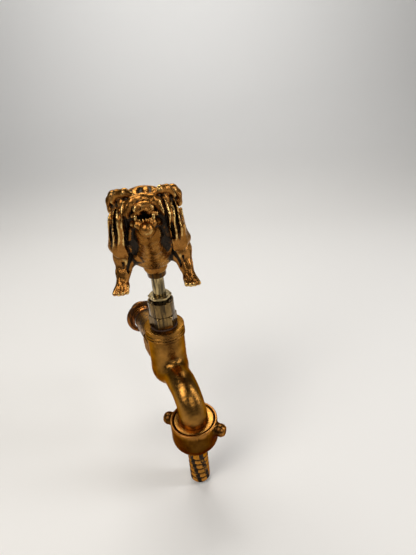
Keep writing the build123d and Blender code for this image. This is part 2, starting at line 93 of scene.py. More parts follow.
class Clay:
    """A block of clay on a grid: each grid point holds its distance to the skin in millimetres, negative
    inside. Forms are pressed on or cut away with a soft edge, and the skin is read off where it is zero."""

    FAR = 6.0

    def __init__(self, low, high, step):
        self.low = np.array(low, float)
        self.step = step
        counts = np.ceil((np.array(high, float) - self.low) / step).astype(int) + 1
        self.axes = [self.low[i] + step * np.arange(counts[i]) for i in range(3)]
        self.d = np.full(counts, self.FAR, np.float32)

    def near(self, low, high):
        """The part of the grid inside a box, as slices and as open x, y and z arrays."""
        cuts = []
        for axis, a, b in zip(self.axes, low, high):
            first, last = np.searchsorted(axis, (a, b))
            cuts.append(slice(max(first - 1, 0), min(last + 1, len(axis))))
        xyz = [axis[cut] for axis, cut in zip(self.axes, cuts)]
        return tuple(cuts), np.meshgrid(*xyz, indexing="ij", sparse=True)

    def whole(self):
        return np.meshgrid(*self.axes, indexing="ij", sparse=True)

    def press(self, cuts, shape, soft):
        """Adds a form: the smooth minimum of the two distances, blended over a width of soft."""
        old = self.d[cuts]
        h = np.clip(0.5 + 0.5 * (old - shape) / soft, 0, 1)
        self.d[cuts] = old * (1 - h) + shape * h - soft * h * (1 - h)

    def carve(self, cuts, shape, soft):
        """Takes a form away: minus the smooth minimum of minus the old distance and the form's own."""
        old = -self.d[cuts]
        h = np.clip(0.5 + 0.5 * (old - shape) / soft, 0, 1)
        self.d[cuts] = -(old * (1 - h) + shape * h - soft * h * (1 - h))

    def lump(self, centre, radii, soft=3.0, cut=False):
        """An ellipsoid: with q the point over the radii, the distance is about |q| (|q| - 1) / |q over radii|."""
        centre, radii = np.array(centre, float), np.broadcast_to(np.array(radii, float), 3)
        reach = radii + soft + 2
        cuts, (x, y, z) = self.near(centre - reach, centre + reach)
        q = [(axis - c) / r for axis, c, r in zip((x, y, z), centre, radii)]
        size = np.sqrt(q[0] ** 2 + q[1] ** 2 + q[2] ** 2)
        slope = np.sqrt((q[0] / radii[0]) ** 2 + (q[1] / radii[1]) ** 2 + (q[2] / radii[2]) ** 2)
        shape = size * (size - 1) / np.maximum(slope, 1e-6)
        (self.carve if cut else self.press)(cuts, shape, soft)

    def limb(self, start, end, thick, thin, soft=3.0, cut=False):
        """A tapered round rod: the distance to the nearest point of its line, less the radius there."""
        a, b = np.array(start, float), np.array(end, float)
        reach = max(thick, thin) + soft + 2
        cuts, (x, y, z) = self.near(np.minimum(a, b) - reach, np.maximum(a, b) + reach)
        along = b - a
        t = ((x - a[0]) * along[0] + (y - a[1]) * along[1] + (z - a[2]) * along[2]) / max(along @ along, 1e-9)
        t = np.clip(t, 0, 1)
        off = [axis - (a[i] + t * along[i]) for i, axis in enumerate((x, y, z))]
        shape = np.sqrt(off[0] ** 2 + off[1] ** 2 + off[2] ** 2) - (thick + t * (thin - thick))
        (self.carve if cut else self.press)(cuts, shape, soft)

    def path(self, points, radii, soft=3.0, cut=False):
        """A chain of tapered rods through the points."""
        for i in range(len(points) - 1):
            self.limb(points[i], points[i + 1], radii[i], radii[i + 1], soft, cut)

    def blurred(self, cells):
        """The distances, held within 3 mm, averaged over a cube 2 cells + 1 wide, axis by axis, twice."""
        out = np.clip(self.d, -3, 3)
        for _ in range(2):
            for axis in range(3):
                pad = [(0, 0)] * 3
                pad[axis] = (cells + 1, cells)
                total = np.cumsum(np.pad(out, pad, mode="edge"), axis=axis, dtype=np.float64)
                width = 2 * cells + 1
                ahead = np.take(total, range(width, total.shape[axis]), axis=axis)
                behind = np.take(total, range(total.shape[axis] - width), axis=axis)
                out = ((ahead - behind) / width).astype(np.float32)
        return out

    def skin(self):
        """Surface nets: each cell that the skin crosses gets one vertex, the mean of the crossings on its 12
        edges, and each grid edge that it crosses gets one four-sided face between the cells round it.
        Returns vertices in millimetres, faces, and the cells' indices."""
        inside = self.d < 0
        corners = [(i, j, k) for i in (0, 1) for j in (0, 1) for k in (0, 1)]
        sizes = np.array(self.d.shape) - 1
        count = np.zeros(sizes, np.int8)
        for i, j, k in corners:
            count += inside[i:i + sizes[0], j:j + sizes[1], k:k + sizes[2]]
        active = (count > 0) & (count < 8)
        cells = np.argwhere(active)
        index = np.full(sizes, -1, np.int64)
        index[active] = np.arange(len(cells))
        value = {c: self.d[tuple((cells + c).T)].astype(float) for c in corners}
        total = np.zeros((len(cells), 3))
        crossings = np.zeros((len(cells), 1))
        for a in corners:
            for axis in range(3):
                if a[axis]:
                    continue
                b = tuple(1 if n == axis else a[n] for n in range(3))
                va, vb = value[a], value[b]
                crossed = ((va < 0) != (vb < 0))[:, None]
                t = np.where(crossed[:, 0], va / np.where(va == vb, 1, va - vb), 0)[:, None]
                total += crossed * (np.array(a) + t * (np.array(b) - np.array(a)))
                crossings += crossed
        vertices = self.low + self.step * (cells + total / crossings)
        faces = []
        for a in range(3):
            b, c = (a + 1) % 3, (a + 2) % 3
            lower = [slice(1, -1)] * 3
            lower[a] = slice(0, -1)
            upper = list(lower)
            upper[a] = slice(1, None)
            for sign in (1, 0):
                edge = (inside[tuple(lower)] == bool(sign)) & (inside[tuple(upper)] != bool(sign))
                at = np.argwhere(edge)
                at[:, b] += 1
                at[:, c] += 1
                ring = []
                for db, dc in ((1, 1), (0, 1), (0, 0), (1, 0)):
                    cell = at.copy()
                    cell[:, b] -= db
                    cell[:, c] -= dc
                    ring.append(index[tuple(cell.T)])
                quad = np.stack(ring, 1)
                faces.append(quad if sign else quad[:, ::-1])
        faces = np.concatenate(faces)
        return relaxed(vertices, faces), faces, cells

    def hollows(self, cells, reach):
        """How deep in a hollow each cell lies: its own distance less the blurred one, over the blur's width."""
        soft = self.blurred(max(1, round(reach / self.step)))
        mean = np.zeros(len(cells))
        for i in (0, 1):
            for j in (0, 1):
                for k in (0, 1):
                    corner = tuple((cells + (i, j, k)).T)
                    mean += np.clip(self.d[corner], -reach, reach) - soft[corner]
        return mean / 8 / reach


def relaxed(vertices, faces, rounds=2):
    """Evens out the grid's steps: each vertex moves half way to its neighbours' mean, then a little more than
    that back again, so that the steps go and the volume stays."""
    start, end = faces.ravel(), np.roll(faces, -1, axis=1).ravel()
    count = np.bincount(start, minlength=len(vertices)) + np.bincount(end, minlength=len(vertices))
    for step in (0.5, -0.52) * rounds:
        total = np.stack([
            np.bincount(start, vertices[end, i], len(vertices))
            + np.bincount(end, vertices[start, i], len(vertices))
            for i in range(3)], 1)
        vertices = vertices + step * (total / count[:, None] - vertices)
    return vertices


def place(points, turn=0.0, at=(0, 0, 0)):
    """Points turned about the vertical by an angle and moved, from millimetres to metres."""
    c, s = math.cos(turn), math.sin(turn)
    turned = np.stack([
        points[:, 0] * c - points[:, 1] * s, points[:, 0] * s + points[:, 1] * c, points[:, 2]], 1)
    return (turned + np.array(at, float)) * MM


def new_piece(name, vertices, faces, material, body, replaced=(), smooth=True, attributes=None):
    """A mesh object from arrays of vertices in metres and of faces, riding on a CAD body."""
    mesh = bpy.data.meshes.new(name)
    faces = np.asarray(faces)
    mesh.vertices.add(len(vertices))
    mesh.vertices.foreach_set("co", np.asarray(vertices, np.float32).ravel())
    mesh.loops.add(faces.size)
    mesh.loops.foreach_set("vertex_index", faces.ravel().astype(np.int32))
    mesh.polygons.add(len(faces))
    mesh.polygons.foreach_set("loop_start", np.arange(0, faces.size, faces.shape[1], dtype=np.int32))
    mesh.polygons.foreach_set("loop_total", np.full(len(faces), faces.shape[1], np.int32))
    mesh.update(calc_edges=True)
    mesh.validate()
    mesh.polygons.foreach_set("use_smooth", np.full(len(mesh.polygons), smooth))
    for key, values in (attributes or {}).items():
        layer = mesh.attributes.new(key, "FLOAT", "POINT")
        layer.data.foreach_set("value", np.asarray(values, np.float32))
    mesh.materials.append(material)
    piece = bpy.data.objects.new(name, mesh)
    bpy.context.scene.collection.objects.link(piece)
    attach(piece, body)
    if replaced:
        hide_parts(*replaced)
    return piece


def sculpted(name, clay, material, body, replaced=(), turn=0.0, at=(0, 0, 0)):
    """A clay's skin as a piece, with how hollow it is over three reaches kept on its points."""
    vertices, faces, cells = clay.skin()
    fine = clay.hollows(cells, 1.2)
    wide = clay.hollows(cells, 3.6)
    broad = clay.hollows(cells, 7.5)
    return new_piece(
        name, place(vertices, turn, at), faces, material, body, replaced,
        attributes={"fine_hollow": fine, "wide_hollow": wide, "broad_hollow": broad})


# ---------------------------------------------------------------- materials

class Link:
    """A socket that Python arithmetic can be done on: each operation adds a Math node."""

    def __init__(self, shader, socket):
        self.shader = shader
        self.socket = socket

    def math(self, operation, *others):
        node = self.shader.node("Math", {"operation": operation}, [self, *others])
        return node

    def __add__(self, other):
        return self.math("ADD", other)

    __radd__ = __add__

    def __mul__(self, other):
        return self.math("MULTIPLY", other)

    __rmul__ = __mul__

    def __sub__(self, other):
        return self.math("SUBTRACT", other)

    def __rsub__(self, other):
        return self.shader.node("Math", {"operation": "SUBTRACT"}, [other, self])

    def __truediv__(self, other):
        return self.math("DIVIDE", other)

    def power(self, other):
        return self.math("POWER", other)


class Shader:
    """A material being built. node() adds any node: its settings first, then its sockets' values or links."""

    def __init__(self, name):
        self.material = bpy.data.materials.new(name)
        self.material.use_nodes = True
        self.tree = self.material.node_tree
        self.surface = self.tree.nodes["Principled BSDF"]

    def node(self, kind, settings=None, inputs=(), output=0):
        node = self.tree.nodes.new("ShaderNode" + kind)
        for key, value in (settings or {}).items():
            if key == "stops":
                ramp = node.color_ramp
                while len(ramp.elements) < len(value):
                    ramp.elements.new(1)
                for element, (position, colour) in zip(ramp.elements, value):
                    element.position = position
                    element.color = (*colour, 1)
            else:
                setattr(node, key, value)
        items = inputs.items() if isinstance(inputs, dict) else enumerate(inputs)
        for key, value in items:
            self.put(node.inputs[key], value)
        return Link(self, node.outputs[output])

    def put(self, socket, value):
        if isinstance(value, Link):
            self.tree.links.new(value.socket, socket)
        elif socket.type == "RGBA" and len(value) == 3:
            socket.default_value = (*value, 1)
        else:
            socket.default_value = value

    def place(self):
        return self.node("TexCoord", output="Object")

    def noise(self, scale, detail=3.0, roughness=0.55, stretch=None, distortion=0.0):
        """Noise on the piece's own coordinates; scale is in waves per metre."""
        where = self.place()
        if stretch:
            where = self.node("Mapping", {}, {"Vector": where, "Scale": stretch})
        return self.node("TexNoise", {}, {
            "Vector": where, "Scale": scale, "Detail": detail, "Roughness": roughness,
            "Distortion": distortion})

    def pits(self, scale):
        return self.node("TexVoronoi", {}, {"Vector": self.place(), "Scale": scale})

    def stored(self, name):
        return self.node("Attribute", {"attribute_name": name}, output="Fac")

    def ramp(self, value, low, high):
        """0 below low, 1 above high, and a smooth step between them."""
        return self.node("MapRange", {"interpolation_type": "SMOOTHSTEP"}, {
            "Value": value, "From Min": low, "From Max": high, "To Min": 0.0, "To Max": 1.0})

    def mix(self, factor, a, b):
        return self.node("Mix", {"data_type": "RGBA"}, {0: factor, 6: a, 7: b}, output=2)

    def bump(self, height, distance, strength=1.0):
        return self.node("Bump", {}, {"Height": height, "Distance": distance, "Strength": strength})

    def finish(self, **sockets):
        for key, value in sockets.items():
            self.put(self.surface.inputs[key.replace("_", " ")], value)
        return self.material


def antique_brass(name, settings, soot_and_painted_shade=1.0):
    """Cast brass with black left in its hollows and bright rubbed high places."""
    sh = Shader(name)
    fine, wide, broad = sh.stored("fine_hollow"), sh.stored("wide_hollow"), sh.stored("broad_hollow")
    grain = sh.noise(420, 5, 0.6)
    blotch = sh.noise(90, 3, 0.6)
    # painted shade as well as patina: the fine hollows give the black patina of the grooves, and the wide and broad
    # hollows darken the creases and the gaps between limbs, lips and body as shade would; the soot argument scales
    # both
    depth = fine * 1.7 + wide * 1.0 + broad * 0.9 + (grain - 0.5) * 0.26 + (blotch - 0.5) * 0.42
    dark = sh.ramp(depth, -0.10 / soot_and_painted_shade, 0.12 / soot_and_painted_shade)
    rubbed = sh.ramp(fine + (blotch - 0.5) * 0.3, -0.30, -0.50)
    gold = sh.mix(sh.ramp(blotch, 0.35, 0.65), settings.gold_dark, settings.gold)
    gold = sh.mix(rubbed * sh.ramp(grain, 0.38, 0.55), gold, settings.gold_bright)
    colour = sh.mix(dark, gold, settings.soot_and_painted_shade)
    rough = 0.27 + dark * 0.25 - rubbed * 0.08 + (grain - 0.5) * 0.22
    height = grain * 0.6 + sh.noise(1500, 3, 0.6) * 0.4
    return sh.finish(
        Base_Color=colour, Specular_Tint=settings.figure_edge_tint, Metallic=1 - dark * 0.55, Roughness=rough,
        Normal=sh.bump(height, 0.00035, 0.8))


def brushed_brass(name, settings, shade=1.0):
    """A filed and brushed casting: long fine scratches, small pits, and soot where it is hollow."""
    sh = Shader(name)
    fine, wide = sh.stored("fine_hollow"), sh.stored("wide_hollow")
    scratches = sh.noise(260, 6, 0.7, stretch=(5.0, 1.0, 1.0))
    cross = sh.noise(260, 6, 0.7, stretch=(1.0, 1.0, 6.0))
    blotch = sh.noise(60, 4, 0.6)
    stain = sh.noise(34, 5, 0.7, distortion=1.0)
    pits = sh.ramp(sh.pits(950), 0.16, 0.02)
    patchy = sh.ramp(blotch, 0.45, 0.62)
    depth = (fine * 1.1 + wide * 1.1 + (scratches - 0.5) * 0.25 + pits * patchy * 0.5
             + sh.ramp(stain, 0.52, 0.7) * 0.22)
    dark = sh.ramp(depth, 0.04, 0.40)
    gold = sh.mix(sh.ramp(blotch, 0.3, 0.7), tuple(c * shade for c in settings.brown),
                  tuple(c * shade for c in settings.bronze_gold))
    gold = sh.mix(sh.ramp(scratches, 0.52, 0.8), gold, tuple(c * shade for c in settings.gold))
    colour = sh.mix(dark, gold, settings.soot_and_painted_shade)
    rough = 0.24 + (cross - 0.5) * 0.25 + dark * 0.25 + pits * 0.1
    height = scratches * 0.5 + cross * 0.5 - pits * patchy * 0.8
    return sh.finish(
        Base_Color=colour, Specular_Tint=settings.edge_tint, Metallic=1 - dark * 0.45, Roughness=rough,
        Normal=sh.bump(height, 0.00026, 0.8))


def turned_brass(name, colour, roughness=0.12, tarnish_and_painted_reflection=0.5, ring=0.00004):
    """Brass off the lathe: fine turning rings along the axis, smears of tarnish and faint scratches."""
    sh = Shader(name)
    rings = sh.noise(900, 2, 0.5, stretch=(0.02, 0.02, 1.0))
    smear = sh.noise(110, 4, 0.6)
    # painted reflection: upright streak noise for the dark reflections that round turned brass would show of dark
    # surroundings
    reflection_streak_noise = sh.noise(420, 4, 0.6, stretch=(1.0, 1.0, 0.06), distortion=0.3)
    scratch = sh.noise(500, 6, 0.75, stretch=(1.0, 1.0, 0.15))
    tarnish = sh.ramp(smear, 0.40, 0.70)
    # painted reflection: the streaks darken the colour to a sixth, and the fourth argument scales them together with
    # the tarnish
    painted_reflection_streaks = sh.ramp(reflection_streak_noise, 0.46, 0.58) * tarnish_and_painted_reflection
    mixed = sh.mix(tarnish, colour, tuple(c * (1 - 0.55 * tarnish_and_painted_reflection) for c in colour))
    mixed = sh.mix(painted_reflection_streaks, mixed, tuple(c * 0.16 for c in colour))
    rough = roughness + tarnish * 0.14 * tarnish_and_painted_reflection + painted_reflection_streaks * 0.15 + (scratch - 0.5) * 0.12
    return sh.finish(
        Base_Color=mixed, Metallic=1 - painted_reflection_streaks * 0.3, Roughness=rough,
        Normal=sh.bump(rings * 0.6 + scratch * 0.4, ring, 0.6))


def black_rubber():
    sh = Shader("rubber")
    grain = sh.noise(1800, 4, 0.6)
    colour = sh.mix(grain, (0.012, 0.012, 0.012), (0.035, 0.034, 0.033))
    return sh.finish(Base_Color=colour, Roughness=0.55 + grain * 0.25, Normal=sh.bump(grain, 0.0001, 0.5))


def red_fibre():
    sh = Shader("fibre")
    strands = sh.noise(1200, 5, 0.7, stretch=(1.0, 4.0, 1.0))
    colour = sh.mix(strands, (0.035, 0.018, 0.012), (0.09, 0.045, 0.028))
    return sh.finish(Base_Color=colour, Roughness=0.7 + strands * 0.2, Normal=sh.bump(strands, 0.0001, 0.6))


def graphited_yarn():
    sh = Shader("packing")
    strands = sh.noise(900, 5, 0.7, stretch=(1.0, 1.0, 3.0))
    colour = sh.mix(strands, (0.02, 0.02, 0.022), (0.14, 0.13, 0.12))
    return sh.finish(Base_Color=colour, Roughness=0.5 + strands * 0.3, Normal=sh.bump(strands, 0.0002, 0.8))


def dark_steel():
    sh = Shader("steel")
    grain = sh.noise(700, 4, 0.6)
    colour = sh.mix(grain, (0.05, 0.045, 0.04), (0.14, 0.12, 0.10))
    return sh.finish(Base_Color=colour, Metallic=0.9, Roughness=0.35 + grain * 0.2)


# ---------------------------------------------------------------- the figure

def at(forward, left, up):
    """A point of the figure in its clay: forward is -Y, left is +X."""
    return (left, -forward, up)


def pairs(*points):
    """The same points on the left and on the right."""
    for side in (1, -1):
        yield [(x * side, y, z) for x, y, z in points]


def figure_trunk(clay):
    clay.lump(at(7.5, 0, 105), (17.5, 17.5, 18.0), 4)
    clay.lump(at(-12, 0, 103), (14, 22, 16), 5)
    clay.lump(at(-28, 0, 102.5), (14.5, 13, 15.5), 4)
    clay.limb(at(10, 0, 108), at(27, 0, 125), 16.5, 15, 6)
    clay.limb(at(20, 0, 105), at(44, 0, 125), 9.5, 6.6, 3)
    clay.limb(at(33, 2.6, 112.5), at(46, 4.4, 126.5), 5.0, 4.4, 1.2)
    clay.limb(at(24, -8.5, 103), at(26, -7.5, 108), 3.4, 3.0, 1.5)
    for (blade,) in pairs(at(6, 10, 117)):
        clay.lump(blade, (6.5, 10, 6), 4)
    for (rib,) in pairs(at(-14, 11, 103)):
        clay.lump(rib, (5, 13, 11), 4)
    clay.path([at(-36, 0, 111), at(-41, 1, 113.5), at(-41.2, 4, 116), at(-38.2, 5.5, 116.5)],
              [4.2, 3.2, 2.7, 2.0], 2)
    # the furrow down the back, and folds round the neck
    clay.path([at(8, 0, 122.5), at(-6, 0, 118.6), at(-20, 0, 118.2), at(-32, 0, 117.5)],
              [1.0, 1.2, 1.2, 1.0], 2.5, True)
    for i in range(5):
        back = -4 - 5.2 * i
        for rib in pairs(at(back + 3, 13.2, 113), at(back, 17.0, 105), at(back - 0.5, 16.4, 97)):
            clay.path(rib, [0.5, 0.9, 0.4], 1.8, True)


def figure_legs(clay):
    for arm in pairs(at(11, 14.5, 108), at(13.5, 18.3, 99.5), at(18, 20.8, 91), at(21.8, 22.3, 84.5)):
        clay.path(arm, [9.5, 7.8, 4.8, 4.0], 2.0)
    for (shoulder,) in pairs(at(13, 17.6, 101)):
        clay.lump(shoulder, (7.6, 9.0, 8.6), 2.0)
    for thigh in pairs(at(-26, 10.5, 104), at(-22, 14.2, 93.5), at(-31.3, 17.2, 87), at(-30, 18.0, 82.4)):
        clay.path(thigh, [12, 6.6, 4.0, 4.0], 2.5)
    for (haunch,) in pairs(at(-25, 12.5, 100)):
        clay.lump(haunch, (7.5, 11, 12.5), 2.5)
    for side in (1, -1):
        for forward, left, splay, lift in ((23, 22.6, 0.20, 0.9), (-29, 18.3, 0.10, 0.0)):
            clay.lump(at(forward, side * left, 81.6 + lift), (4.6, 5.2, 4.2), 1.5)
            for toe in range(4):
                spread = (toe - 1.5) * 2.35
                tip = at(forward + 6.4 - 0.5 * abs(toe - 1.5) ** 2,
                         side * (left + spread * 1.12 + 6 * splay), 79.9 + lift)
                knuckle = at(forward + 2.0, side * (left + spread * 0.8), 82.6 + lift)
                clay.limb(knuckle, tip, 1.9, 1.75, 0.5)
                web = at(forward + 7.2, side * (left + (spread + 1.2) * 1.12 + 6 * splay), 80.5 + lift)
                if toe < 3:
                    clay.limb(at(forward + 2.2, side * (left + (spread + 1.2) * 0.85), 84.2 + lift),
                              web, 0.6, 1.0, 0.4, True)
    # creases at the elbows and along the arms
    for crease in pairs(at(20.5, 13.5, 104), at(21.5, 16.8, 95), at(20.0, 18.5, 88.5)):
        clay.path(crease, [1.1, 1.1, 0.5], 1.2, True)
    for crease in pairs(at(23.4, 22.4, 95), at(25.6, 23.0, 87.5)):
        clay.limb(crease[0], crease[1], 0.9, 0.5, 0.9, True)
    for groove in pairs(at(19.5, 18.6, 103), at(22.4, 20.2, 95), at(25.2, 21.6, 88)):
        clay.path(groove, [0.7, 1.0, 0.8], 0.8, True)
    for groove in pairs(at(16.5, 24.0, 101), at(19.0, 25.2, 94), at(23.0, 26.0, 86)):
        clay.path(groove, [0.7, 1.0, 0.7], 0.8, True)
    for groove in pairs(at(-28.5, 22.0, 104), at(-29.0, 22.6, 97), at(-32.0, 21.8, 89)):
        clay.path(groove, [0.7, 1.1, 0.7], 0.8, True)
    for crease in pairs(at(-14.5, 14.6, 104), at(-15.5, 15.5, 96), at(-18.5, 15.5, 89)):
        clay.path(crease, [0.9, 1.2, 0.6], 1.6, True)


def figure_head(clay):
    clay.lump(at(27, 0, 134.5), (17.5, 14.5, 14.2), 4)
    clay.lump(at(40, 0, 137), (12, 9, 9.5), 4)
    for cheek in pairs(at(30, 14, 129)):
        clay.lump(cheek[0], (7.2, 9, 12.5), 3)
    # the hanging lips, from the nose's roll down past the jaw
    for lip in pairs(at(43.5, 8.5, 141.5), at(43, 12.8, 135), at(40.8, 15.8, 126), at(37.4, 17.0, 115.5)):
        clay.path(lip, [4.8, 5.6, 6.0, 6.0], 2)
    for lip in pairs(at(35, 17.0, 133), at(31.5, 19.0, 116)):
        clay.limb(lip[0], lip[1], 5.4, 6.4, 2.5)
    # a deep crease where the lips end over the arms
    for crease in pairs(at(41, 11.5, 109.5), at(36.5, 17.5, 107.0), at(30, 23.0, 107.5), at(24, 25.0, 110)):
        clay.path(crease, [1.3, 1.7, 1.7, 1.2], 1.0, True)
    # the lower jaw and its lips
    clay.path([at(36, 0, 124), at(46, 0, 129), at(53, 0.3, 131.6)], [8.0, 6.6, 4.6], 2.5)
    # the hollow of the mouth, and the deep gaps between jaw and hanging lips
    clay.lump(at(49.5, 0, 138.4), (8.2, 7.0, 3.3), 1.2, True)
    for gap in pairs(at(50.5, 7.9, 140.5), at(48.0, 9.3, 133), at(44.5, 9.9, 124), at(38.5, 10.2, 112)):
        clay.path(gap, [1.7, 2.9, 3.4, 3.6], 1.0, True)
    for gap in pairs(at(36, 10.0, 117), at(27, 12.5, 107)):
        clay.limb(gap[0], gap[1], 3.6, 3.2, 1.5, True)
    # the roll over the nose
    for roll in pairs(at(42.8, 11.5, 136.5), at(44.5, 9.0, 142.3), at(45.6, 5.0, 145.7), at(45.8, 0, 146.8)):
        clay.path(roll, [3.2, 3.0, 2.9, 3.0], 1.0)
    # nose and nostrils
    clay.lump(at(50.3, 0, 143.6), (5.0, 3.6, 3.2), 1.0)
    for wing in pairs(at(51.0, 3.6, 143.0)):
        clay.lump(wing[0], (2.3, 2.6, 2.3), 0.7)
    for nostril in pairs(at(53.4, 2.2, 144.0), at(53.0, 3.6, 142.2)):
        clay.limb(nostril[0], nostril[1], 1.25, 0.7, 0.5, True)
    clay.limb(at(54, 0, 145), at(52.6, 0, 138.5), 0.5, 0.6, 0.5, True)
    for lobe in pairs(at(50.6, 2.8, 140.4), at(48.8, 6.4, 138.6)):
        clay.limb(lobe[0], lobe[1], 1.9, 1.5, 0.8)
    # lower lip, teeth and the ball of the chin
    for rim in pairs(at(54.8, 0.2, 134.6), at(53.2, 4.2, 134.8), at(49.0, 6.6, 134.2), at(43, 7.4, 131)):
        clay.path(rim, [1.8, 1.8, 1.9, 2.2], 0.9)
    for tooth in pairs(at(52.6, 4.3, 135.5), at(53.3, 4.9, 139.6)):
        clay.limb(tooth[0], tooth[1], 1.45, 0.75, 0.4)
    for i in range(4):
        clay.limb(at(54.0, (i - 1.5) * 1.75, 135.6), at(54.3, (i - 1.5) * 1.8, 137.6), 0.95, 0.8, 0.3)
    clay.lump(at(56.6, 0.6, 133.2), 3.7, 0.8)
    clay.path([at(56.4, -4.6, 131.5), at(57.8, 0.6, 128.6), at(56.4, 5.4, 131.5)], [0.7, 1.1, 0.7], 0.8, True)
    # eyes, their sockets, brows and bags
    for side in (1, -1):
        clay.lump(at(36.6, side * 11.8, 142.6), (4.6, 4.4, 3.9), 1.0, True)
        clay.lump(at(34.9, side * 11.6, 142.2), 3.3, 0.4)
        clay.path([at(39.6, side * 5.6, 147.2), at(37.6, side * 9.5, 148.6), at(33.6, side * 14.2, 147.6),
                   at(30.5, side * 17.5, 142.6)], [1.8, 2.5, 2.4, 1.8], 1.2)
        clay.path([at(41.0, side * 8.6, 142.0), at(39.4, side * 12.4, 138.8), at(34.4, side * 16.2, 139.0)],
                  [1.2, 1.7, 1.3], 0.9)
        # rose ears: a folded flap with a pit behind its front edge
        clay.path([at(24.0, side * 14.0, 143.4), at(21.5, side * 17.6, 143.2), at(20.0, side * 19.8, 140.0),
                   at(21.5, side * 20.2, 135.0)], [3.2, 3.4, 3.2, 2.8], 1.2)
        clay.path([at(24.8, side * 17.2, 141.8), at(24.0, side * 19.6, 138.0)], [1.7, 1.5], 0.7, True)
        clay.limb(at(17.2, side * 16.6, 145.0), at(16.6, side * 19.2, 139.0), 0.8, 0.8, 0.8, True)


def figure_folds(clay):
    """Wrinkles: with v running up the tilted face, rho is the distance from the mouth's middle plane below it
    and from the mouth itself above it, so lines of equal rho are arches that hang down as straight sides. Each
    fold is a furrow where rho, bent by slow waves, passes its own value, and it fades in and out round the arch."""
    x, y, z = clay.whole()
    forward = -y
    v = -0.5 * (forward - 47) + 0.87 * (z - 137)
    up, down = np.maximum(v, 0), np.maximum(-v, 0)
    side = np.sign(x)
    rho = np.sqrt(x ** 2 + (np.where(x > 0, 0.55, 0.72) * up) ** 2) - 0.08 * down
    bend = 0.55 * np.sin(0.17 * z + 0.11 * forward + side) + 0.22 * np.sin(0.5 * z - 0.2 * x + 2.0 * side)
    turn = np.arctan2(x, v + 4)
    face = np.clip((forward - 22) / 4, 0, 1) * np.clip((z - 116) / 9, 0, 1)
    eye = np.sqrt((forward - 35.5) ** 2 + (np.abs(x) - 11.7) ** 2 + (z - 142.4) ** 2)
    face = face * np.clip((eye - 4.6) / 2, 0, 1) * np.clip(np.where(v > 0, (np.abs(x) - 4) / 4, 1), 0, 1)
    face = face * np.clip((12 - v) / 4, 0, 1)
    furrow = np.zeros(clay.d.shape, np.float32)
    folds = ((11.4, 0.85, 2.2, 0.4), (14.4, 0.95, 3.0, 2.2), (17.4, 0.95, 3.0, 4.1),
             (20.4, 0.95, 3.0, 0.9), (23.6, 0.9, 2.6, 3.0))
    for centre, width, depth, phase in folds:
        fade = 0.60 + 0.45 * np.sin(1.6 * turn + phase + 1.1 * side)
        reach = np.clip(1.8 * fade, 0.1, 1)
        furrow += depth * reach * np.exp(-((rho + bend - centre) / width) ** 2)
    clay.d += furrow * face
    # folds round the neck and throat, behind the cheeks: rings about the neck's slanting line
    along = 0.72 * (forward - 18) + 0.69 * (z - 112)
    behind = np.clip((27 - forward) / 5, 0, 1) * np.clip((z - 104) / 6, 0, 1) * np.clip((forward - 2) / 5, 0, 1)
    rings = np.zeros(clay.d.shape, np.float32)
    for centre, depth in ((2.0, 1.1), (6.2, 1.4), (10.6, 1.2)):
        wave = 1.1 * np.sin(0.28 * x + centre) + 0.5 * np.sin(0.6 * z + centre)
        rings += depth * np.exp(-((along + wave - centre) / 0.8) ** 2)
    clay.d += rings * behind * np.clip((np.abs(x) - 9) / 4, 0, 1)
    # slow dents all over, as wax worked by hand has
    clay.d += (0.22 * np.sin(0.55 * x + 1.3 * np.sin(0.21 * z)) * np.sin(0.5 * y + 0.8)
               * np.sin(0.6 * z + 0.9 * np.sin(0.3 * y))).astype(np.float32)


def crown_folds(clay):
    """The curled fold on top of the head and the furrows beside it, laid on the skin: each point's height
    is where its column of the clay first turns solid from above."""
    def on_top(forward, left):
        i = np.abs(clay.axes[0] - left).argmin()
        j = np.abs(clay.axes[1] + forward).argmin()
        column = clay.d[i, j] < 0
        return at(forward, left, clay.axes[2][len(column) - 1 - column[::-1].argmax()])

    lines = (
        (((41, -3.5), (42, 0.5), (40.0, 4.0), (36.5, 3.6), (34.5, 0.0), (32.0, -1.5), (28.0, -1.0)), 1.5),
        (((40, 6.5), (37, 8.4), (32, 9.0), (27, 8.0)), 1.0),
        (((37, -6.0), (32, -7.2), (26, -6.5)), 1.0),
        (((33, 4.2), (29, 4.6), (24, 3.6)), 0.8),
        (((24, 9.5), (20, 6.0), (16, 0.5), (20, -6.0), (24, -9.5)), 0.9),
    )
    for line, radius in lines:
        points = [on_top(*p) for p in line]
        clay.path(points, [radius] * len(points), 0.9, True)


def make_figure(settings):
    """The bulldog: lumps and limbs pressed together, then gaps, eyes, teeth and folds cut into the clay."""
    low, high = span("bulldog_handle")
    clay = Clay((-33, -62, low[2] - 2), (33, 47, high[2] + 5), settings.grain)
    figure_trunk(clay)
    figure_legs(clay)
    figure_head(clay)
    figure_folds(clay)
    crown_folds(clay)
    # the flat boss under the belly that the socket enters, with its bore
    socket_low, socket_high = span("handle_socket")
    radius = (socket_high[0] - socket_low[0]) / 2
    clay.limb((0, 0, socket_low[2] + 9.5), (0, 0, socket_high[2] - 2), radius + 2.0, radius + 2.0, 2.5)
    clay.limb((0, 0, socket_low[2] - 8), (0, 0, socket_low[2] + 0.2), radius + 0.6, radius + 0.6, 0.4, True)
    return sculpted(
        "bulldog", clay, antique_brass("antique brass", settings), "handle",
        ["bulldog_handle"], settings.heading, (SPINDLE[0], SPINDLE[1], 0))


# ---------------------------------------------------------------- the valve's castings

def hexagon_radius(angle, flats, turn=0.0):
    """The radius of a hexagon at an angle: half its width over flats, over the cosine from the flat's middle."""
    sixth = math.pi / 3
    return flats / 2 / np.cos((angle - turn + sixth / 2) % sixth - sixth / 2)


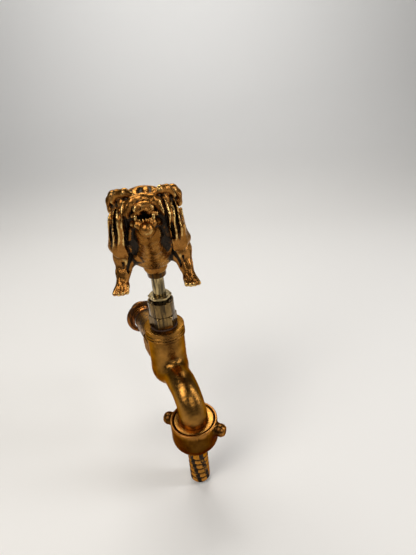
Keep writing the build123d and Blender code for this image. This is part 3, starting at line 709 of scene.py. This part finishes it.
def turned_about(axis_point, direction, radii, heights, flats=None, hex_turn=0.0, segments=96):
    """A closed surface turned about an axis: at each angle the radius is the profile's own, or the hexagon's
    where that is smaller. The profile starts and ends wherever it likes; a radius of 0 closes a pole.
    Returns vertices in metres and faces."""
    angle = np.linspace(0, 2 * math.pi, segments, endpoint=False)
    radii, heights = np.array(radii, float), np.array(heights, float)
    rings = np.broadcast_to(radii[:, None], (len(radii), segments)).copy()
    if flats is not None:
        limit = np.array([f if f else 1e3 for f in flats])[:, None]
        rings = np.minimum(rings, np.where(limit > 900, 1e3, hexagon_radius(angle[None, :], limit, hex_turn)))
    direction = np.array(direction, float)
    across = np.array((1.0, 0, 0))
    beside = np.cross(direction, across)
    points = (np.array(axis_point, float)
              + heights[:, None, None] * direction
              + rings[:, :, None] * (np.cos(angle)[None, :, None] * across + np.sin(angle)[None, :, None] * beside))
    n = len(radii)
    i, j = np.meshgrid(np.arange(n - 1), np.arange(segments), indexing="ij")
    k = (j + 1) % segments
    faces = np.stack([i * segments + j, i * segments + k, (i + 1) * segments + k, (i + 1) * segments + j], -1)
    return points.reshape(-1, 3) * MM, faces.reshape(-1, 4)


def lathe(name, profile, axis_point, direction, material, body, replaced=(), hexes=None, hex_turn=0.0,
          segments=96, edge=0.25):
    """A turned piece: each corner of the profile, a (radius, height) point, is rounded by up to edge, then the
    line is carried round the axis. The profile is closed, inner wall included. hexes gives each corner the
    width over flats of the bar that it is cut from, or None where it is round."""
    corners = np.array(profile, float)
    flats = hexes or [None] * len(corners)
    line, widths = [], []
    for n, corner in enumerate(corners):
        before, after = corners[n - 1] - corner, corners[(n + 1) % len(corners)] - corner
        a, b = np.linalg.norm(before), np.linalg.norm(after)
        cut = min(edge, a / 3, b / 3)
        start, end = corner + before / a * cut, corner + after / b * cut
        for t in (0.0, 0.33, 0.67, 1.0):
            line.append((1 - t) ** 2 * start + 2 * t * (1 - t) * corner + t ** 2 * end)
            widths.append(flats[n])
    line.append(line[0])
    widths.append(widths[0])
    line = np.array(line)
    vertices, faces = turned_about(
        axis_point, direction, line[:, 0], line[:, 1], widths if hexes else None, hex_turn, segments)
    piece = new_piece(name, vertices, faces, material, body, replaced)
    weld(piece)
    return piece


def weld(piece):
    """Joins the doubled ring where a profile closes and turns every face outwards."""
    import bmesh
    mesh = bmesh.new()
    mesh.from_mesh(piece.data)
    bmesh.ops.remove_doubles(mesh, verts=mesh.verts, dist=2e-6)
    bmesh.ops.recalc_face_normals(mesh, faces=mesh.faces)
    mesh.to_mesh(piece.data)
    mesh.free()
    piece.data.polygons.foreach_set("use_smooth", np.ones(len(piece.data.polygons), bool))
    piece.data.set_sharp_from_angle(angle=math.radians(38))


def make_casting(settings):
    """The body's casting: barrel, round bottom, spout and inlet neck, run into each other as they are cast."""
    low, high = span("valve_body")
    top, bottom = high[2], low[2]
    clay = Clay((-20, -REACH - 20, bottom - 4), (20, 40, top + 3), settings.casting_grain)
    barrel, spout, bend = settings.barrel_radius, settings.spout_radius, settings.spout_bend
    level = settings.spout_level
    clay.limb((0, 0, top - 4 - barrel * 0.2), (0, 0, level + 3), barrel, barrel * 0.985, 0.5)
    clay.lump((0, 0, level - 1.5), (barrel, barrel, barrel), 2.0)
    # the spout: a level run, then an arc of a quarter turn down to the outlet
    steps = np.radians(np.linspace(0, 90, 25))
    arc = [(0, -(REACH - bend) - bend * math.sin(a), level + 1 - bend * (1 - math.cos(a))) for a in steps]
    line = [(0, -4, level + 1)] + arc + [(0, -REACH, level - bend - 1.5)]
    bent = Clay((-20, -REACH - 20, bottom - 4), (20, 40, top + 3), settings.casting_grain)
    waist = [spout * (0.97 + 0.16 * (i / len(arc) - 0.45) ** 2) for i in range(len(arc))]
    bent.path(line, [spout] + waist + [spout], 0.3)
    clay.press(np.s_[:, :, :], bent.d, 6.5)
    clay.limb((0, 0, 0), (0, 22, 0), 11.8, 11.4, 3.0)
    x, y, z = clay.whole()
    # flat cuts: the barrel's top, the outlet's end and the neck's end
    radius = np.sqrt(x ** 2 + y ** 2)
    clay.d = np.maximum(clay.d, np.where(y > -barrel - 6, z - (top - 0.4), -9)).astype(np.float32)
    clay.d = np.maximum(clay.d, np.where(y < -REACH + 20, (level - bend - 0.4) - z, -9)).astype(np.float32)
    clay.d = np.maximum(clay.d, y - 20.5).astype(np.float32)
    # the bonnet's hole runs down as the valve's chamber to the seat, and the seat's bore goes on below it
    seat = span("jumper_washer")[0][2] - SEAT_SLACK
    foot = span("washer_nut")[0][2] - BORE_BELOW_NUT
    clay.d = np.maximum(clay.d, np.where(z > seat, settings.bonnet_hole - radius, -9)).astype(np.float32)
    clay.d = np.maximum(clay.d, np.where(z > foot, settings.seat_bore - radius, -9)).astype(np.float32)
    # hand filing: long slow flats along the spout and barrel
    clay.d += (0.035 * np.sin(0.9 * x + 0.4 * np.sin(0.3 * z)) * np.sin(0.35 * z + 0.5 * y)
               + 0.02 * np.sin(1.7 * y + 1.1 * z + 0.8 * np.sin(0.7 * x))).astype(np.float32)
    return sculpted(
        "body_casting", clay, brushed_brass("cast brass", settings), "valve_body",
        ["valve_body"], 0.0, (SPINDLE[0], SPINDLE[1], 0))


def make_body_fittings(settings):
    """What is turned or milled on the body: its collar and beads, the inlet's hexagon and the outlet's disc."""
    low, high = span("valve_body")
    top = high[2]
    brass = brushed_brass("filed brass", settings, 1.05)
    axis = (SPINDLE[0], SPINDLE[1], 0)
    collar, barrel = settings.collar_radius, settings.barrel_radius
    hole = settings.bonnet_hole
    profile = [(hole, top - 10), (barrel - 1, top - 10.4), (barrel + 0.15, top - 9.6)]
    profile += [(barrel + 0.15, top - 8.9), (barrel + 0.9, top - 8.5), (barrel + 1.0, top - 7.6),
                (barrel + 0.9, top - 7.0), (barrel + 0.15, top - 6.6), (barrel + 0.15, top - 6.2),
                (barrel + 0.9, top - 5.8), (barrel + 1.0, top - 4.9), (barrel + 0.9, top - 4.3),
                (barrel + 0.15, top - 3.9), (barrel + 0.15, top - 3.2)]
    profile += [(collar, top - 3.0), (collar, top), (hole, top)]
    pieces = [lathe("body_collar", profile, axis, (0, 0, 1), brass, "valve_body", edge=0.35)]
    # inlet hexagon, between the casting's neck and the pipe
    face = high[1] - SPINDLE[1]
    depth, width, chamfer = settings.inlet_hex_depth, settings.inlet_hex_flats, 1.4
    corner = width / math.sqrt(3)
    pipe = settings.pipe_radius
    profile = [(pipe, face), (pipe, face - depth), (width / 2 - 0.6, face - depth),
               (corner + 0.05, face - depth + chamfer), (corner + 0.05, face - chamfer), (width / 2, face)]
    hexes = [None, None, width, width, width, width]
    pieces.append(lathe("inlet_hexagon", profile, axis, (0, 1, 0), brass, "valve_body",
                        hexes=hexes, segments=144, edge=0.3))
    # outlet disc with its thread below
    disc_top = settings.spout_level - settings.spout_bend
    outlet = (OUTLET[0], OUTLET[1], 0)
    disc, thread = settings.disc_radius, settings.outlet_thread
    bore = settings.outlet_bore
    end = low[2]
    profile = [(bore, disc_top - 0.2), (settings.spout_radius - 1.5, disc_top - 0.2),
               (settings.spout_radius + 0.9, disc_top), (disc, disc_top), (disc, disc_top - 2.5),
               (thread - 1, disc_top - 2.5), (thread - 1, end), (bore, end)]
    pieces.append(lathe("outlet_disc", profile, outlet, (0, 0, 1), brass, "valve_body", edge=0.3))
    return pieces


def make_union_nut(settings):
    """The union nut: a round bowl with a rim, two lugs with ball ends, and its bore and seat cut inside."""
    low, high = span("union_nut")
    top, bottom = high[2], low[2]
    radius, reach = settings.nut_radius, settings.lug_reach
    clay = Clay((-30, -30, bottom - 3), (30, 30, top + 3), settings.casting_grain)
    x, y, z = clay.whole()
    around = np.sqrt(x ** 2 + y ** 2)
    bowl = settings.nut_bowl
    mouth = 9.0
    # the outside: a cylinder above, and below it a bowl whose radius follows a quarter of an ellipse
    sink = np.clip((bottom + bowl - z) / bowl, 0, 0.999)
    edge = mouth + (radius - mouth) * np.sqrt(1 - sink ** 2)
    side = (around - edge) * np.sqrt(np.maximum(1 - sink ** 1.5 * 0.75, 0.2))
    clay.d = np.maximum(side, np.maximum(z - top, bottom - z)).astype(np.float32)
    lug_level = settings.lug_level
    for turn in (settings.lug_turn, settings.lug_turn + math.pi):
        out = np.array((math.cos(turn), math.sin(turn), 0))
        base, neck, tip = out * (radius - 3), out * (radius + 2.0), out * (reach - 4.6)
        clay.path([tuple(base + (0, 0, lug_level)), tuple(neck + (0, 0, lug_level)), tuple(tip + (0, 0, lug_level))],
                  [5.0, 4.2, 4.6], 2.4)
        far = x * out[0] + y * out[1] - (reach - 1.1)
        clay.d = np.maximum(clay.d, far).astype(np.float32)
    cut = np.where(z > top - 4.0, 15.9, settings.tail_radius + 0.3)
    clay.d = np.maximum(clay.d, cut - around).astype(np.float32)
    clay.d += (0.05 * np.sin(3 * np.arctan2(y, x) + 0.5 * z) * np.sin(0.8 * z)).astype(np.float32)
    return sculpted(
        "union_nut_with_lugs", clay, nut_bronze(settings), "union_nut", ["union_nut"], 0.0,
        (OUTLET[0], OUTLET[1], 0))


def nut_bronze(settings):
    """Satin brown bronze with fine upright brushing, soot at the rim and lugs, and paler rubbed edges."""
    sh = Shader("bronze")
    fine, wide = sh.stored("fine_hollow"), sh.stored("wide_hollow")
    brushing = sh.noise(420, 6, 0.7, stretch=(1.0, 1.0, 0.12))
    blotch = sh.noise(75, 4, 0.6)
    depth = fine + wide + (blotch - 0.5) * 0.35
    dark = sh.ramp(depth, 0.05, 0.45)
    rubbed = sh.ramp(depth, -0.40, -0.8)
    colour = sh.mix(sh.ramp(blotch, 0.35, 0.65), settings.bronze, settings.brown)
    colour = sh.mix(rubbed, colour, settings.gold)
    colour = sh.mix(dark, colour, settings.soot_and_painted_shade)
    rough = 0.30 + (brushing - 0.5) * 0.2 + dark * 0.2
    return sh.finish(
        Base_Color=colour, Specular_Tint=settings.edge_tint, Metallic=1 - dark * 0.4, Roughness=rough,
        Normal=sh.bump(brushing * 0.7 + sh.noise(1300, 3, 0.6) * 0.3, 0.0002, 0.7))


def make_wall_flange(settings):
    """The wall flange: a hollow stepped rose whose rim rests on the wall."""
    low, high = span("wall_flange")
    depth, radius = high[1] - low[1], (high[0] - low[0]) / 2
    hole, wall = settings.pipe_radius + 0.55, 1.6
    steps = [(radius, 1.0), (radius - 0.7, 2.2), (13.8, 3.2), (13.3, 2.8), (13.0, 3.4), (12.7, 4.7), (12.3, 4.4),
             (12.0, 5.0), (11.6, depth)]
    profile = [(radius, 0)] + steps + [(hole, depth - 0.1), (hole, depth - wall), (11.3, depth - wall),
                                       (11.9, 2.6), (radius - wall - 0.6, 1.0), (radius - wall, 0)]
    return lathe("wall_rose", profile, (SPINDLE[0], high[1], 0), (0, -1, 0),
                 turned_brass("flange brass", settings.copper_gold, 0.22, 0.9), "wall_flange",
                 ["wall_flange"], edge=0.4)


def make_bonnet(settings):
    """The bonnet as it shows above the body: a chamfered hexagon and a round head with a dark recess."""
    low, high = span("bonnet")
    body_top = span("valve_body")[1][2]
    base, top = body_top + 0.6, high[2]
    flats = high[1] - low[1] - 0.6
    corner = flats / math.sqrt(3)
    shoulder = base + settings.bonnet_hex_height
    head, recess = settings.bonnet_head_radius, settings.bonnet_recess_radius
    stem = settings.stem_radius + 0.1
    profile = [(stem, low[2] + 1), (recess - 1.6, low[2] + 1), (recess - 1.6, base), (flats / 2, base),
               (corner + 0.05, base + 1.0), (corner + 0.05, shoulder - 1.1), (flats / 2 + 0.3, shoulder),
               (flats / 2 - 0.5, shoulder), (flats / 2 - 0.5, shoulder + 0.5), (head, shoulder + 0.5), (head, top),
               (recess, top), (recess, top - 2.6), (stem, top - 2.6)]
    hexes = [None, None, None, flats, flats, flats, flats] + [None] * 7
    return lathe("bonnet_head", profile, (SPINDLE[0], SPINDLE[1], 0), (0, 0, 1),
                 turned_brass("bonnet brass", settings.aged_brass, 0.13, 0.9), "valve_body",
                 ["bonnet"], hexes=hexes, hex_turn=math.radians(settings.bonnet_turn), segments=144, edge=0.35)


def make_gland_nut(settings):
    """The gland nut: a thin chamfered hexagon on a round neck that screws into the bonnet's recess."""
    low, high = span("gland_nut")
    top = high[2]
    flats, thick = settings.gland_flats, settings.gland_thick
    corner = flats / math.sqrt(3)
    stem, neck = settings.stem_radius + 0.08, settings.gland_neck
    profile = [(stem, low[2]), (neck, low[2]), (neck, top - thick), (flats / 2 - 0.2, top - thick),
               (corner + 0.05, top - thick + 0.6), (corner + 0.05, top - 0.6), (flats / 2 - 0.2, top), (stem, top)]
    hexes = [None, None, None, flats, flats, flats, flats, None]
    return lathe("gland_nut_hexagon", profile, (SPINDLE[0], SPINDLE[1], 0), (0, 0, 1),
                 turned_brass("gland brass", settings.yellow_brass, 0.10, 0.5), "valve_body",
                 ["gland_nut"], hexes=hexes, hex_turn=math.radians(12), segments=144, edge=0.3)


def make_handle_socket(settings):
    """The socket under the figure: a sleeve a little out of round, with a brazed bead where it meets it."""
    low, high = span("handle_socket")
    radius = (high[0] - low[0]) / 2
    clay = Clay((-12, -12, low[2] - 2), (12, 12, high[2] + 2), 0.45)
    x, y, z = clay.whole()
    around = np.sqrt(x ** 2 + y ** 2)
    angle = np.arctan2(y, x)
    wall = radius - 0.15 + 0.18 * np.sin(3 * angle + 0.5 * z) + 0.1 * np.sin(7 * angle - 0.9 * z)
    clay.d = np.maximum(around - wall, np.maximum(z - high[2] + 1, low[2] - z)).astype(np.float32)
    clay.d = np.maximum(clay.d, settings.stem_radius - 0.6 - around).astype(np.float32)
    braze = low[2] + 8.2
    for a in np.radians(np.arange(0, 360, 30)):
        bead = 1.1 + 0.35 * math.sin(5 * a + 1)
        clay.lump((radius * math.cos(a), radius * math.sin(a), braze + 0.5 * math.sin(3 * a)), bead, 1.0)
    return sculpted(
        "brazed_socket", clay, turned_brass("socket brass", settings.brown, 0.30, 0.8, 0.0001), "handle",
        ["handle_socket"], settings.heading, (SPINDLE[0], SPINDLE[1], 0))


def make_hose_tail(settings):
    """The hose tail: rings of barbs on a tube, each ring cut across by short dark marks."""
    low, high = span("hose_tail")
    end, top = low[2], high[2]
    root, crest, bore = settings.tail_radius - 1.0, settings.tail_radius, settings.tail_bore
    flange = (high[0] - low[0]) / 2
    nut_end = span("union_nut")[0][2]
    pitch = settings.barb_pitch
    z = nut_end - settings.tail_plain
    profile = [(bore, top), (flange, top), (flange, top - 3), (crest - 0.1, top - 3), (crest - 0.1, z)]
    for _ in range(settings.barb_count):
        profile += [(root, z - 0.35), (root + 0.15, z - 1.1), (crest, z - pitch + 1.9), (crest, z - pitch)]
        z -= pitch
    profile += [(root, z - 0.4), (root, end + 1.8), (root - 0.5, end + 0.6), (root - 1.5, end), (bore + 0.4, end),
                (bore, end + 0.6)]
    return lathe("barbed_tail", profile, (OUTLET[0], OUTLET[1], 0), (0, 0, 1), tail_brass(settings, nut_end, pitch),
                 "hose_tail", ["hose_tail"], edge=0.3)


def tail_brass(settings, top, pitch):
    """Darkened brass whose grooves are black, with broken black marks across the barbs' lands."""
    sh = Shader("tail brass")
    where = sh.place()
    parts = sh.tree.nodes.new("ShaderNodeSeparateXYZ")
    sh.tree.links.new(where.socket, parts.inputs[0])
    x, y, z = (Link(sh, parts.outputs[i]) for i in range(3))
    blotch = sh.noise(140, 4, 0.6)
    grain = sh.noise(600, 5, 0.65)
    # distance from the axis tells groove from land
    dx, dy = x - float(OUTLET[0]) * MM, y - float(OUTLET[1]) * MM
    around = (dx * dx + dy * dy).power(0.5)
    groove = 1 - sh.ramp(around + (grain - 0.5) * 0.0008,
                         (settings.tail_radius - 0.85) * MM, (settings.tail_radius - 0.15) * MM)
    angle = sh.node("Math", {"operation": "ARCTAN2"}, [dy, dx])
    row = sh.node("Math", {"operation": "FLOOR"}, [(z - float(top) * MM) / (pitch * MM)])
    dash = sh.node("Math", {"operation": "SINE"}, [angle * 6.0 + row * 0.7])
    marks = sh.ramp(dash + (grain - 0.5) * 1.0, 0.10, 0.35) * sh.ramp(blotch, 0.34, 0.46)
    dark = sh.node("Math", {"operation": "MAXIMUM"}, [
        groove, marks * sh.ramp(z, (float(top) - 5) * MM, (float(top) - 7) * MM)])
    colour = sh.mix(sh.ramp(blotch, 0.3, 0.55), settings.bronze_gold, settings.tail_gold)
    colour = sh.mix(dark, colour, settings.soot_and_painted_shade)
    return sh.finish(
        Base_Color=colour, Specular_Tint=settings.edge_tint, Metallic=1 - dark * 0.5,
        Roughness=0.26 + (grain - 0.5) * 0.2 + dark * 0.25,
        Normal=sh.bump(grain, 0.00015, 0.6))


def dress_inner_pieces(settings):
    """Finishes for the pieces that keep their own CAD shape."""
    steel, rubber = dark_steel(), black_rubber()
    # the spindle and the pipe get the strongest painted reflection streaks, from their fourth argument of 1.0
    bright = turned_brass("spindle brass", settings.yellow_brass, 0.10, 1.0)
    finishes = {
        "spindle": bright, "jumper_valve": bright, "washer_nut": bright, "gland_follower": bright,
        "inlet_pipe": turned_brass("pipe brass", settings.bronze_gold, 0.24, 1.0, 0.00008),
        "jumper_washer": rubber, "union_washer": rubber, "bonnet_gasket": red_fibre(),
        "gland_packing": graphited_yarn(), "grub_screw": steel,
    }
    for node, material in finishes.items():
        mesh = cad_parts[node].data
        mesh.materials.clear()
        mesh.materials.append(material)


def make_sweep(settings):
    """The studio's paper: a level floor that curves up into a wall behind the tap."""
    low = CAD_BOX[0][2] - 0.0005
    forward = np.array(settings.camera_forward[:2]) / np.hypot(*settings.camera_forward[:2])
    level, bend = settings.floor_depth, settings.floor_bend
    turn = np.linspace(0, math.pi / 2, 24)
    away = np.concatenate([(-3.0, 0.0), level + bend * np.sin(turn), (level + bend,)])
    up = np.concatenate([(0, 0), bend * (1 - np.cos(turn)), (5.0,)])
    across = np.array((-6.0, 6.0))
    points = (away[:, None, None] * np.array((*forward, 0)) + up[:, None, None] * np.array((0, 0, 1.0))
              + across[None, :, None] * np.array((forward[1], -forward[0], 0)) + np.array((0, 0, low)))
    i = np.arange(len(away) - 1)
    faces = np.stack([2 * i, 2 * i + 1, 2 * i + 3, 2 * i + 2], 1)
    mesh = bpy.data.meshes.new("paper")
    mesh.from_pydata(points.reshape(-1, 3).tolist(), [], faces.tolist())
    mesh.polygons.foreach_set("use_smooth", np.ones(len(faces), bool))
    sh = Shader("paper")
    mesh.materials.append(sh.finish(Base_Color=(0.84, 0.83, 0.81), Roughness=0.75))
    paper = bpy.data.objects.new("paper", mesh)
    bpy.context.scene.collection.objects.link(paper)


def make_world(settings):
    """Soft bright and dark patches, which give the brass something to mirror, behind a plain grey."""
    world = bpy.data.worlds.new("studio")
    world.use_nodes = True
    tree = world.node_tree
    where = tree.nodes.new("ShaderNodeTexCoord")
    noise = tree.nodes.new("ShaderNodeTexNoise")
    noise.inputs["Scale"].default_value = 1.7
    noise.inputs["Detail"].default_value = 1.0
    steps = tree.nodes.new("ShaderNodeMapRange")
    for key, value in {"From Min": 0.42, "From Max": 0.62, "To Min": 0.02, "To Max": 1.0}.items():
        steps.inputs[key].default_value = value
    tree.links.new(where.outputs["Generated"], noise.inputs["Vector"])
    tree.links.new(noise.outputs["Fac"], steps.inputs["Value"])
    back = tree.nodes["Background"]
    tree.links.new(steps.outputs["Result"], back.inputs["Color"])
    back.inputs["Strength"].default_value = settings.world_strength
    plain = tree.nodes.new("ShaderNodeBackground")
    plain.inputs["Color"].default_value = (0.62, 0.61, 0.60, 1)
    ray = tree.nodes.new("ShaderNodeLightPath")
    choice = tree.nodes.new("ShaderNodeMixShader")
    tree.links.new(ray.outputs["Is Camera Ray"], choice.inputs[0])
    tree.links.new(back.outputs[0], choice.inputs[1])
    tree.links.new(plain.outputs[0], choice.inputs[2])
    tree.links.new(choice.outputs[0], tree.nodes["World Output"].inputs["Surface"])
    bpy.context.scene.world = world


def make_lamps(settings):
    """Three soft boxes: one to the left, a narrow one to the right and one from behind."""
    centre = Vector((SPINDLE[0] * MM, SPINDLE[1] * MM - 0.02, 0.03))
    lamps = (
        ("left", (-0.60, -0.20, 0.70), (0.40, 0.70), 7.0, (1.0, 0.95, 0.88)),
        ("right", (0.70, -0.35, 0.40), (0.16, 0.80), 4.5, (0.98, 0.98, 1.0)),
        ("back", (0.10, 0.60, 0.80), (0.80, 0.30), 9.0, (1.0, 0.98, 0.95)),
        ("front", (0.05, -0.80, 0.55), (0.25, 0.25), 1.8, (1.0, 0.95, 0.88)),
        ("paper", (0.45, 1.00, 1.30), (1.60, 0.40), 26.0, (1.0, 1.0, 1.0)),
    )
    for name, offset, (width, height), power, colour in lamps:
        light = bpy.data.lights.new(name, "AREA")
        light.shape = "RECTANGLE"
        light.size, light.size_y = width, height
        light.energy = power * settings.lamp_strength
        light.color = colour
        lamp = bpy.data.objects.new(name, light)
        lamp.location = centre + Vector(offset)
        towards = Vector((0.5, 1.0, -0.4)) if name == "paper" else -Vector(offset)
        lamp.rotation_euler = towards.to_track_quat("-Z", "Y").to_euler()
        bpy.context.scene.collection.objects.link(lamp)


def make_camera(settings):
    """The camera, in front of the tap, to its left and above."""
    camera = bpy.data.cameras.new("camera")
    camera.sensor_fit = "VERTICAL"
    camera.sensor_height = 36.0
    camera.lens = settings.camera_lens
    camera.clip_start = 0.01
    view = bpy.data.objects.new("camera", camera)
    forward, up = Vector(settings.camera_forward), Vector(settings.camera_up)
    right = forward.cross(up).normalized()
    up = right.cross(forward).normalized()
    back = -forward.normalized()
    rows = [(right[i], up[i], back[i], settings.camera_place[i]) for i in range(3)]
    view.matrix_world = Matrix(rows + [(0, 0, 0, 1)])
    bpy.context.scene.collection.objects.link(view)
    bpy.context.scene.camera = view


def make_stage(settings):
    """The studio: paper, lamps, sky and camera."""
    make_sweep(settings)
    make_world(settings)
    make_lamps(settings)
    make_camera(settings)
    bpy.context.scene.view_settings.view_transform = "Standard"


# ---------------------------------------------------------------- settings, operators and panel

def colour(name, description, default):
    return FloatVectorProperty(name=name, description=description, subtype="COLOR", size=3, min=0, max=1,
                               default=default)


def length(name, description, default):
    return FloatProperty(name=name, description=description + ", in millimetres", default=default, min=0.01)


class HoseBibSettings(bpy.types.PropertyGroup):
    """Sizes and colours that a user would change."""
    grain: length("Figure's grain", "Spacing of the clay grid that the figure is sculpted on", 0.6)
    casting_grain: length("Casting's grain", "Spacing of the clay grid for the body and the nut", 0.6)
    heading: FloatProperty(name="Heading", description="How far the figure is turned when the valve is shut",
                           default=math.radians(-17), subtype="ANGLE", unit="ROTATION")
    barrel_radius: length("Barrel radius", "Radius of the body's upright barrel", 14.8)
    collar_radius: length("Collar radius", "Radius of the collar at the barrel's top", 15.6)
    spout_radius: length("Spout radius", "Radius of the spout", 10.7)
    spout_bend: length("Spout bend", "Radius of the spout's quarter bend", 20.0)
    spout_level: FloatProperty(name="Spout level", description="Height of the spout's level run against the inlet, "
                               "in millimetres", default=-7.0)
    bonnet_hole: length("Bonnet hole", "Radius of the hole that the bonnet screws into", 9.1)
    seat_bore: length("Seat bore", "Radius of the hole that the valve's washer shuts", 5.5)
    inlet_hex_flats: length("Inlet hexagon", "Width of the inlet's hexagon over its flats", 23.6)
    inlet_hex_depth: length("Inlet hexagon's depth", "Length of the inlet's hexagon along the pipe", 15.0)
    pipe_radius: length("Pipe radius", "Radius of the inlet pipe", 10.2)
    disc_radius: length("Disc radius", "Radius of the disc above the outlet's thread", 15.0)
    outlet_thread: length("Outlet thread", "Radius of the outlet's thread over its crests", 13.2)
    outlet_bore: length("Outlet bore", "Radius of the outlet's bore", 7.2)
    nut_radius: length("Nut radius", "Outer radius of the union nut", 17.9)
    nut_bowl: length("Nut's bowl", "Height of the union nut's rounded bottom", 10.5)
    lug_reach: length("Lug reach", "From the union nut's axis to a lug's end", 26.0)
    lug_level: FloatProperty(name="Lug level", description="Height of the lugs' middle, in millimetres", default=-32.5)
    lug_turn: FloatProperty(name="Lug turn", description="Where the lugs stand round the nut",
                            default=math.radians(-45), subtype="ANGLE", unit="ROTATION")
    tail_radius: length("Tail radius", "Radius of the hose tail over its barbs", 8.0)
    tail_bore: length("Tail bore", "Radius of the hose tail's bore", 4.8)
    tail_plain: length("Tail's plain neck", "Length of the tail's plain neck below the nut", 11.6)
    barb_pitch: length("Barb pitch", "Distance from one barb to the next", 5.4)
    barb_count: IntProperty(name="Barbs", description="How many barbs the hose tail has", default=5, min=1)
    stem_radius: length("Stem radius", "Radius of the spindle's stem", 4.7)
    bonnet_hex_height: length("Bonnet hexagon", "Height of the bonnet's hexagon", 10.2)
    bonnet_head_radius: length("Bonnet head", "Radius of the bonnet's round head", 9.8)
    bonnet_recess_radius: length("Bonnet recess", "Radius of the recess in the bonnet's head", 8.5)
    bonnet_turn: FloatProperty(name="Bonnet turn", description="How the bonnet's flats are turned, in degrees",
                               default=20.0)
    gland_flats: length("Gland nut", "Width of the gland nut over its flats", 15.6)
    gland_thick: length("Gland nut's height", "Height of the gland nut's hexagon", 2.3)
    gland_neck: length("Gland neck", "Radius of the gland nut's neck", 6.4)
    gold: colour("Gold", "The figure's brass", (0.36, 0.155, 0.035))
    gold_dark: colour("Dark gold", "The figure's brass in its darker patches", (0.20, 0.080, 0.016))
    gold_bright: colour("Rubbed gold", "Brass on the high places", (0.80, 0.54, 0.19))
    bronze_gold: colour("Bronze gold", "The body's brass", (0.37, 0.175, 0.036))
    yellow_brass: colour("Yellow brass", "Bonnet, gland nut and spindle", (0.50, 0.37, 0.17))
    tail_gold: colour("Tail gold", "Lands of the hose tail", (0.52, 0.22, 0.04))
    aged_brass: colour("Aged brass", "The bonnet", (0.24, 0.150, 0.055))
    copper_gold: colour("Copper gold", "The wall flange", (0.25, 0.085, 0.014))
    bronze: colour("Bronze", "The union nut", (0.046, 0.016, 0.004))
    edge_tint: colour("Edge tint", "Tints what the metals mirror at a grazing angle", (0.62, 0.40, 0.20))
    figure_edge_tint: colour(
        "Figure edge tint", "The same for the bulldog, which mirrors more of the pale floor", (0.84, 0.68, 0.50))
    brown: colour("Brown", "Tarnish on the castings", (0.120, 0.052, 0.011))
    # the darkest colour: on the figure it is patina in the grooves and painted shade in the wider hollows, and on the
    # castings it is the dark of their hollows, pits and stains
    soot_and_painted_shade: colour("Soot", "What is left in the hollows", (0.010, 0.007, 0.005))
    floor_depth: FloatProperty(name="Floor", description="How far the floor runs behind the tap", default=1.2,
                               unit="LENGTH", min=0.2)
    floor_bend: FloatProperty(name="Floor's bend", description="Radius of the floor's curve into the wall",
                              default=1.0, unit="LENGTH", min=0.1)
    world_strength: FloatProperty(name="Sky", description="Strength of the studio's even light", default=0.30, min=0)
    lamp_strength: FloatProperty(name="Lamps", description="Strength of all lamps together", default=0.62, min=0)
    camera_lens: FloatProperty(name="Lens", description="Focal length on a 36 mm frame's long side, in millimetres",
                               default=25.95)
    camera_place: FloatVectorProperty(name="Camera", description="Where the camera stands", subtype="TRANSLATION",
                                      unit="LENGTH", size=3, default=(-0.067, -0.323, 0.209))
    camera_forward: FloatVectorProperty(name="View", description="The way the camera looks", size=3,
                                        default=(0.344, 0.812, -0.471))
    camera_up: FloatVectorProperty(name="Up", description="The camera's upward way", size=3,
                                   default=(0.257, 0.401, 0.879))


def operator_for(maker, idname, label, text):
    """An operator class that runs one maker with the scene's settings."""
    def execute(self, context):
        maker(context.scene.hose_bib)
        return {"FINISHED"}

    return type("HOSEBIB_OT_" + idname, (bpy.types.Operator,), {
        "bl_idname": "hose_bib." + idname, "bl_label": label, "bl_options": {"REGISTER", "UNDO"},
        "__doc__": text, "execute": execute})


OPERATORS = [operator_for(*row) for row in (
    (make_figure, "figure", "Bulldog", "Sculpt the bulldog that is the handle"),
    (make_handle_socket, "socket", "Handle socket", "Make the sleeve brazed under the bulldog"),
    (make_casting, "casting", "Body casting", "Sculpt the valve's body with its spout"),
    (make_body_fittings, "fittings", "Body fittings", "Turn the collar, the inlet hexagon and the outlet disc"),
    (make_bonnet, "bonnet", "Bonnet", "Turn the bonnet"),
    (make_gland_nut, "gland_nut", "Gland nut", "Turn the gland nut"),
    (make_union_nut, "union_nut", "Union nut", "Sculpt the union nut with its lugs"),
    (make_hose_tail, "hose_tail", "Hose tail", "Turn the barbed hose tail"),
    (make_wall_flange, "wall_flange", "Wall flange", "Turn the domed wall flange"),
    (dress_inner_pieces, "inner_pieces", "Other finishes", "Give the remaining pieces their finishes"),
    (make_stage, "stage", "Studio", "Set up the floor, the lamps and the camera"),
)]


class HOSEBIB_PT_panel(bpy.types.Panel):
    """The sidebar panel that lists the hose bib's operators."""
    bl_label = "Hose bib"
    bl_idname = "HOSEBIB_PT_panel"
    bl_space_type = "VIEW_3D"
    bl_region_type = "UI"
    bl_category = "Hose bib"

    def draw(self, context):
        for operator in OPERATORS:
            self.layout.operator(operator.bl_idname)


CLASSES = (HoseBibSettings, *OPERATORS, HOSEBIB_PT_panel)


def register():
    for cls in CLASSES:
        bpy.utils.register_class(cls)
    bpy.types.Scene.hose_bib = PointerProperty(type=HoseBibSettings)


def unregister():
    del bpy.types.Scene.hose_bib
    for cls in reversed(CLASSES):
        bpy.utils.unregister_class(cls)


def main():
    register()
    for operator in OPERATORS:
        group, name = operator.bl_idname.split(".")
        getattr(getattr(bpy.ops, group), name)()


if __name__ == "__main__":
    main()
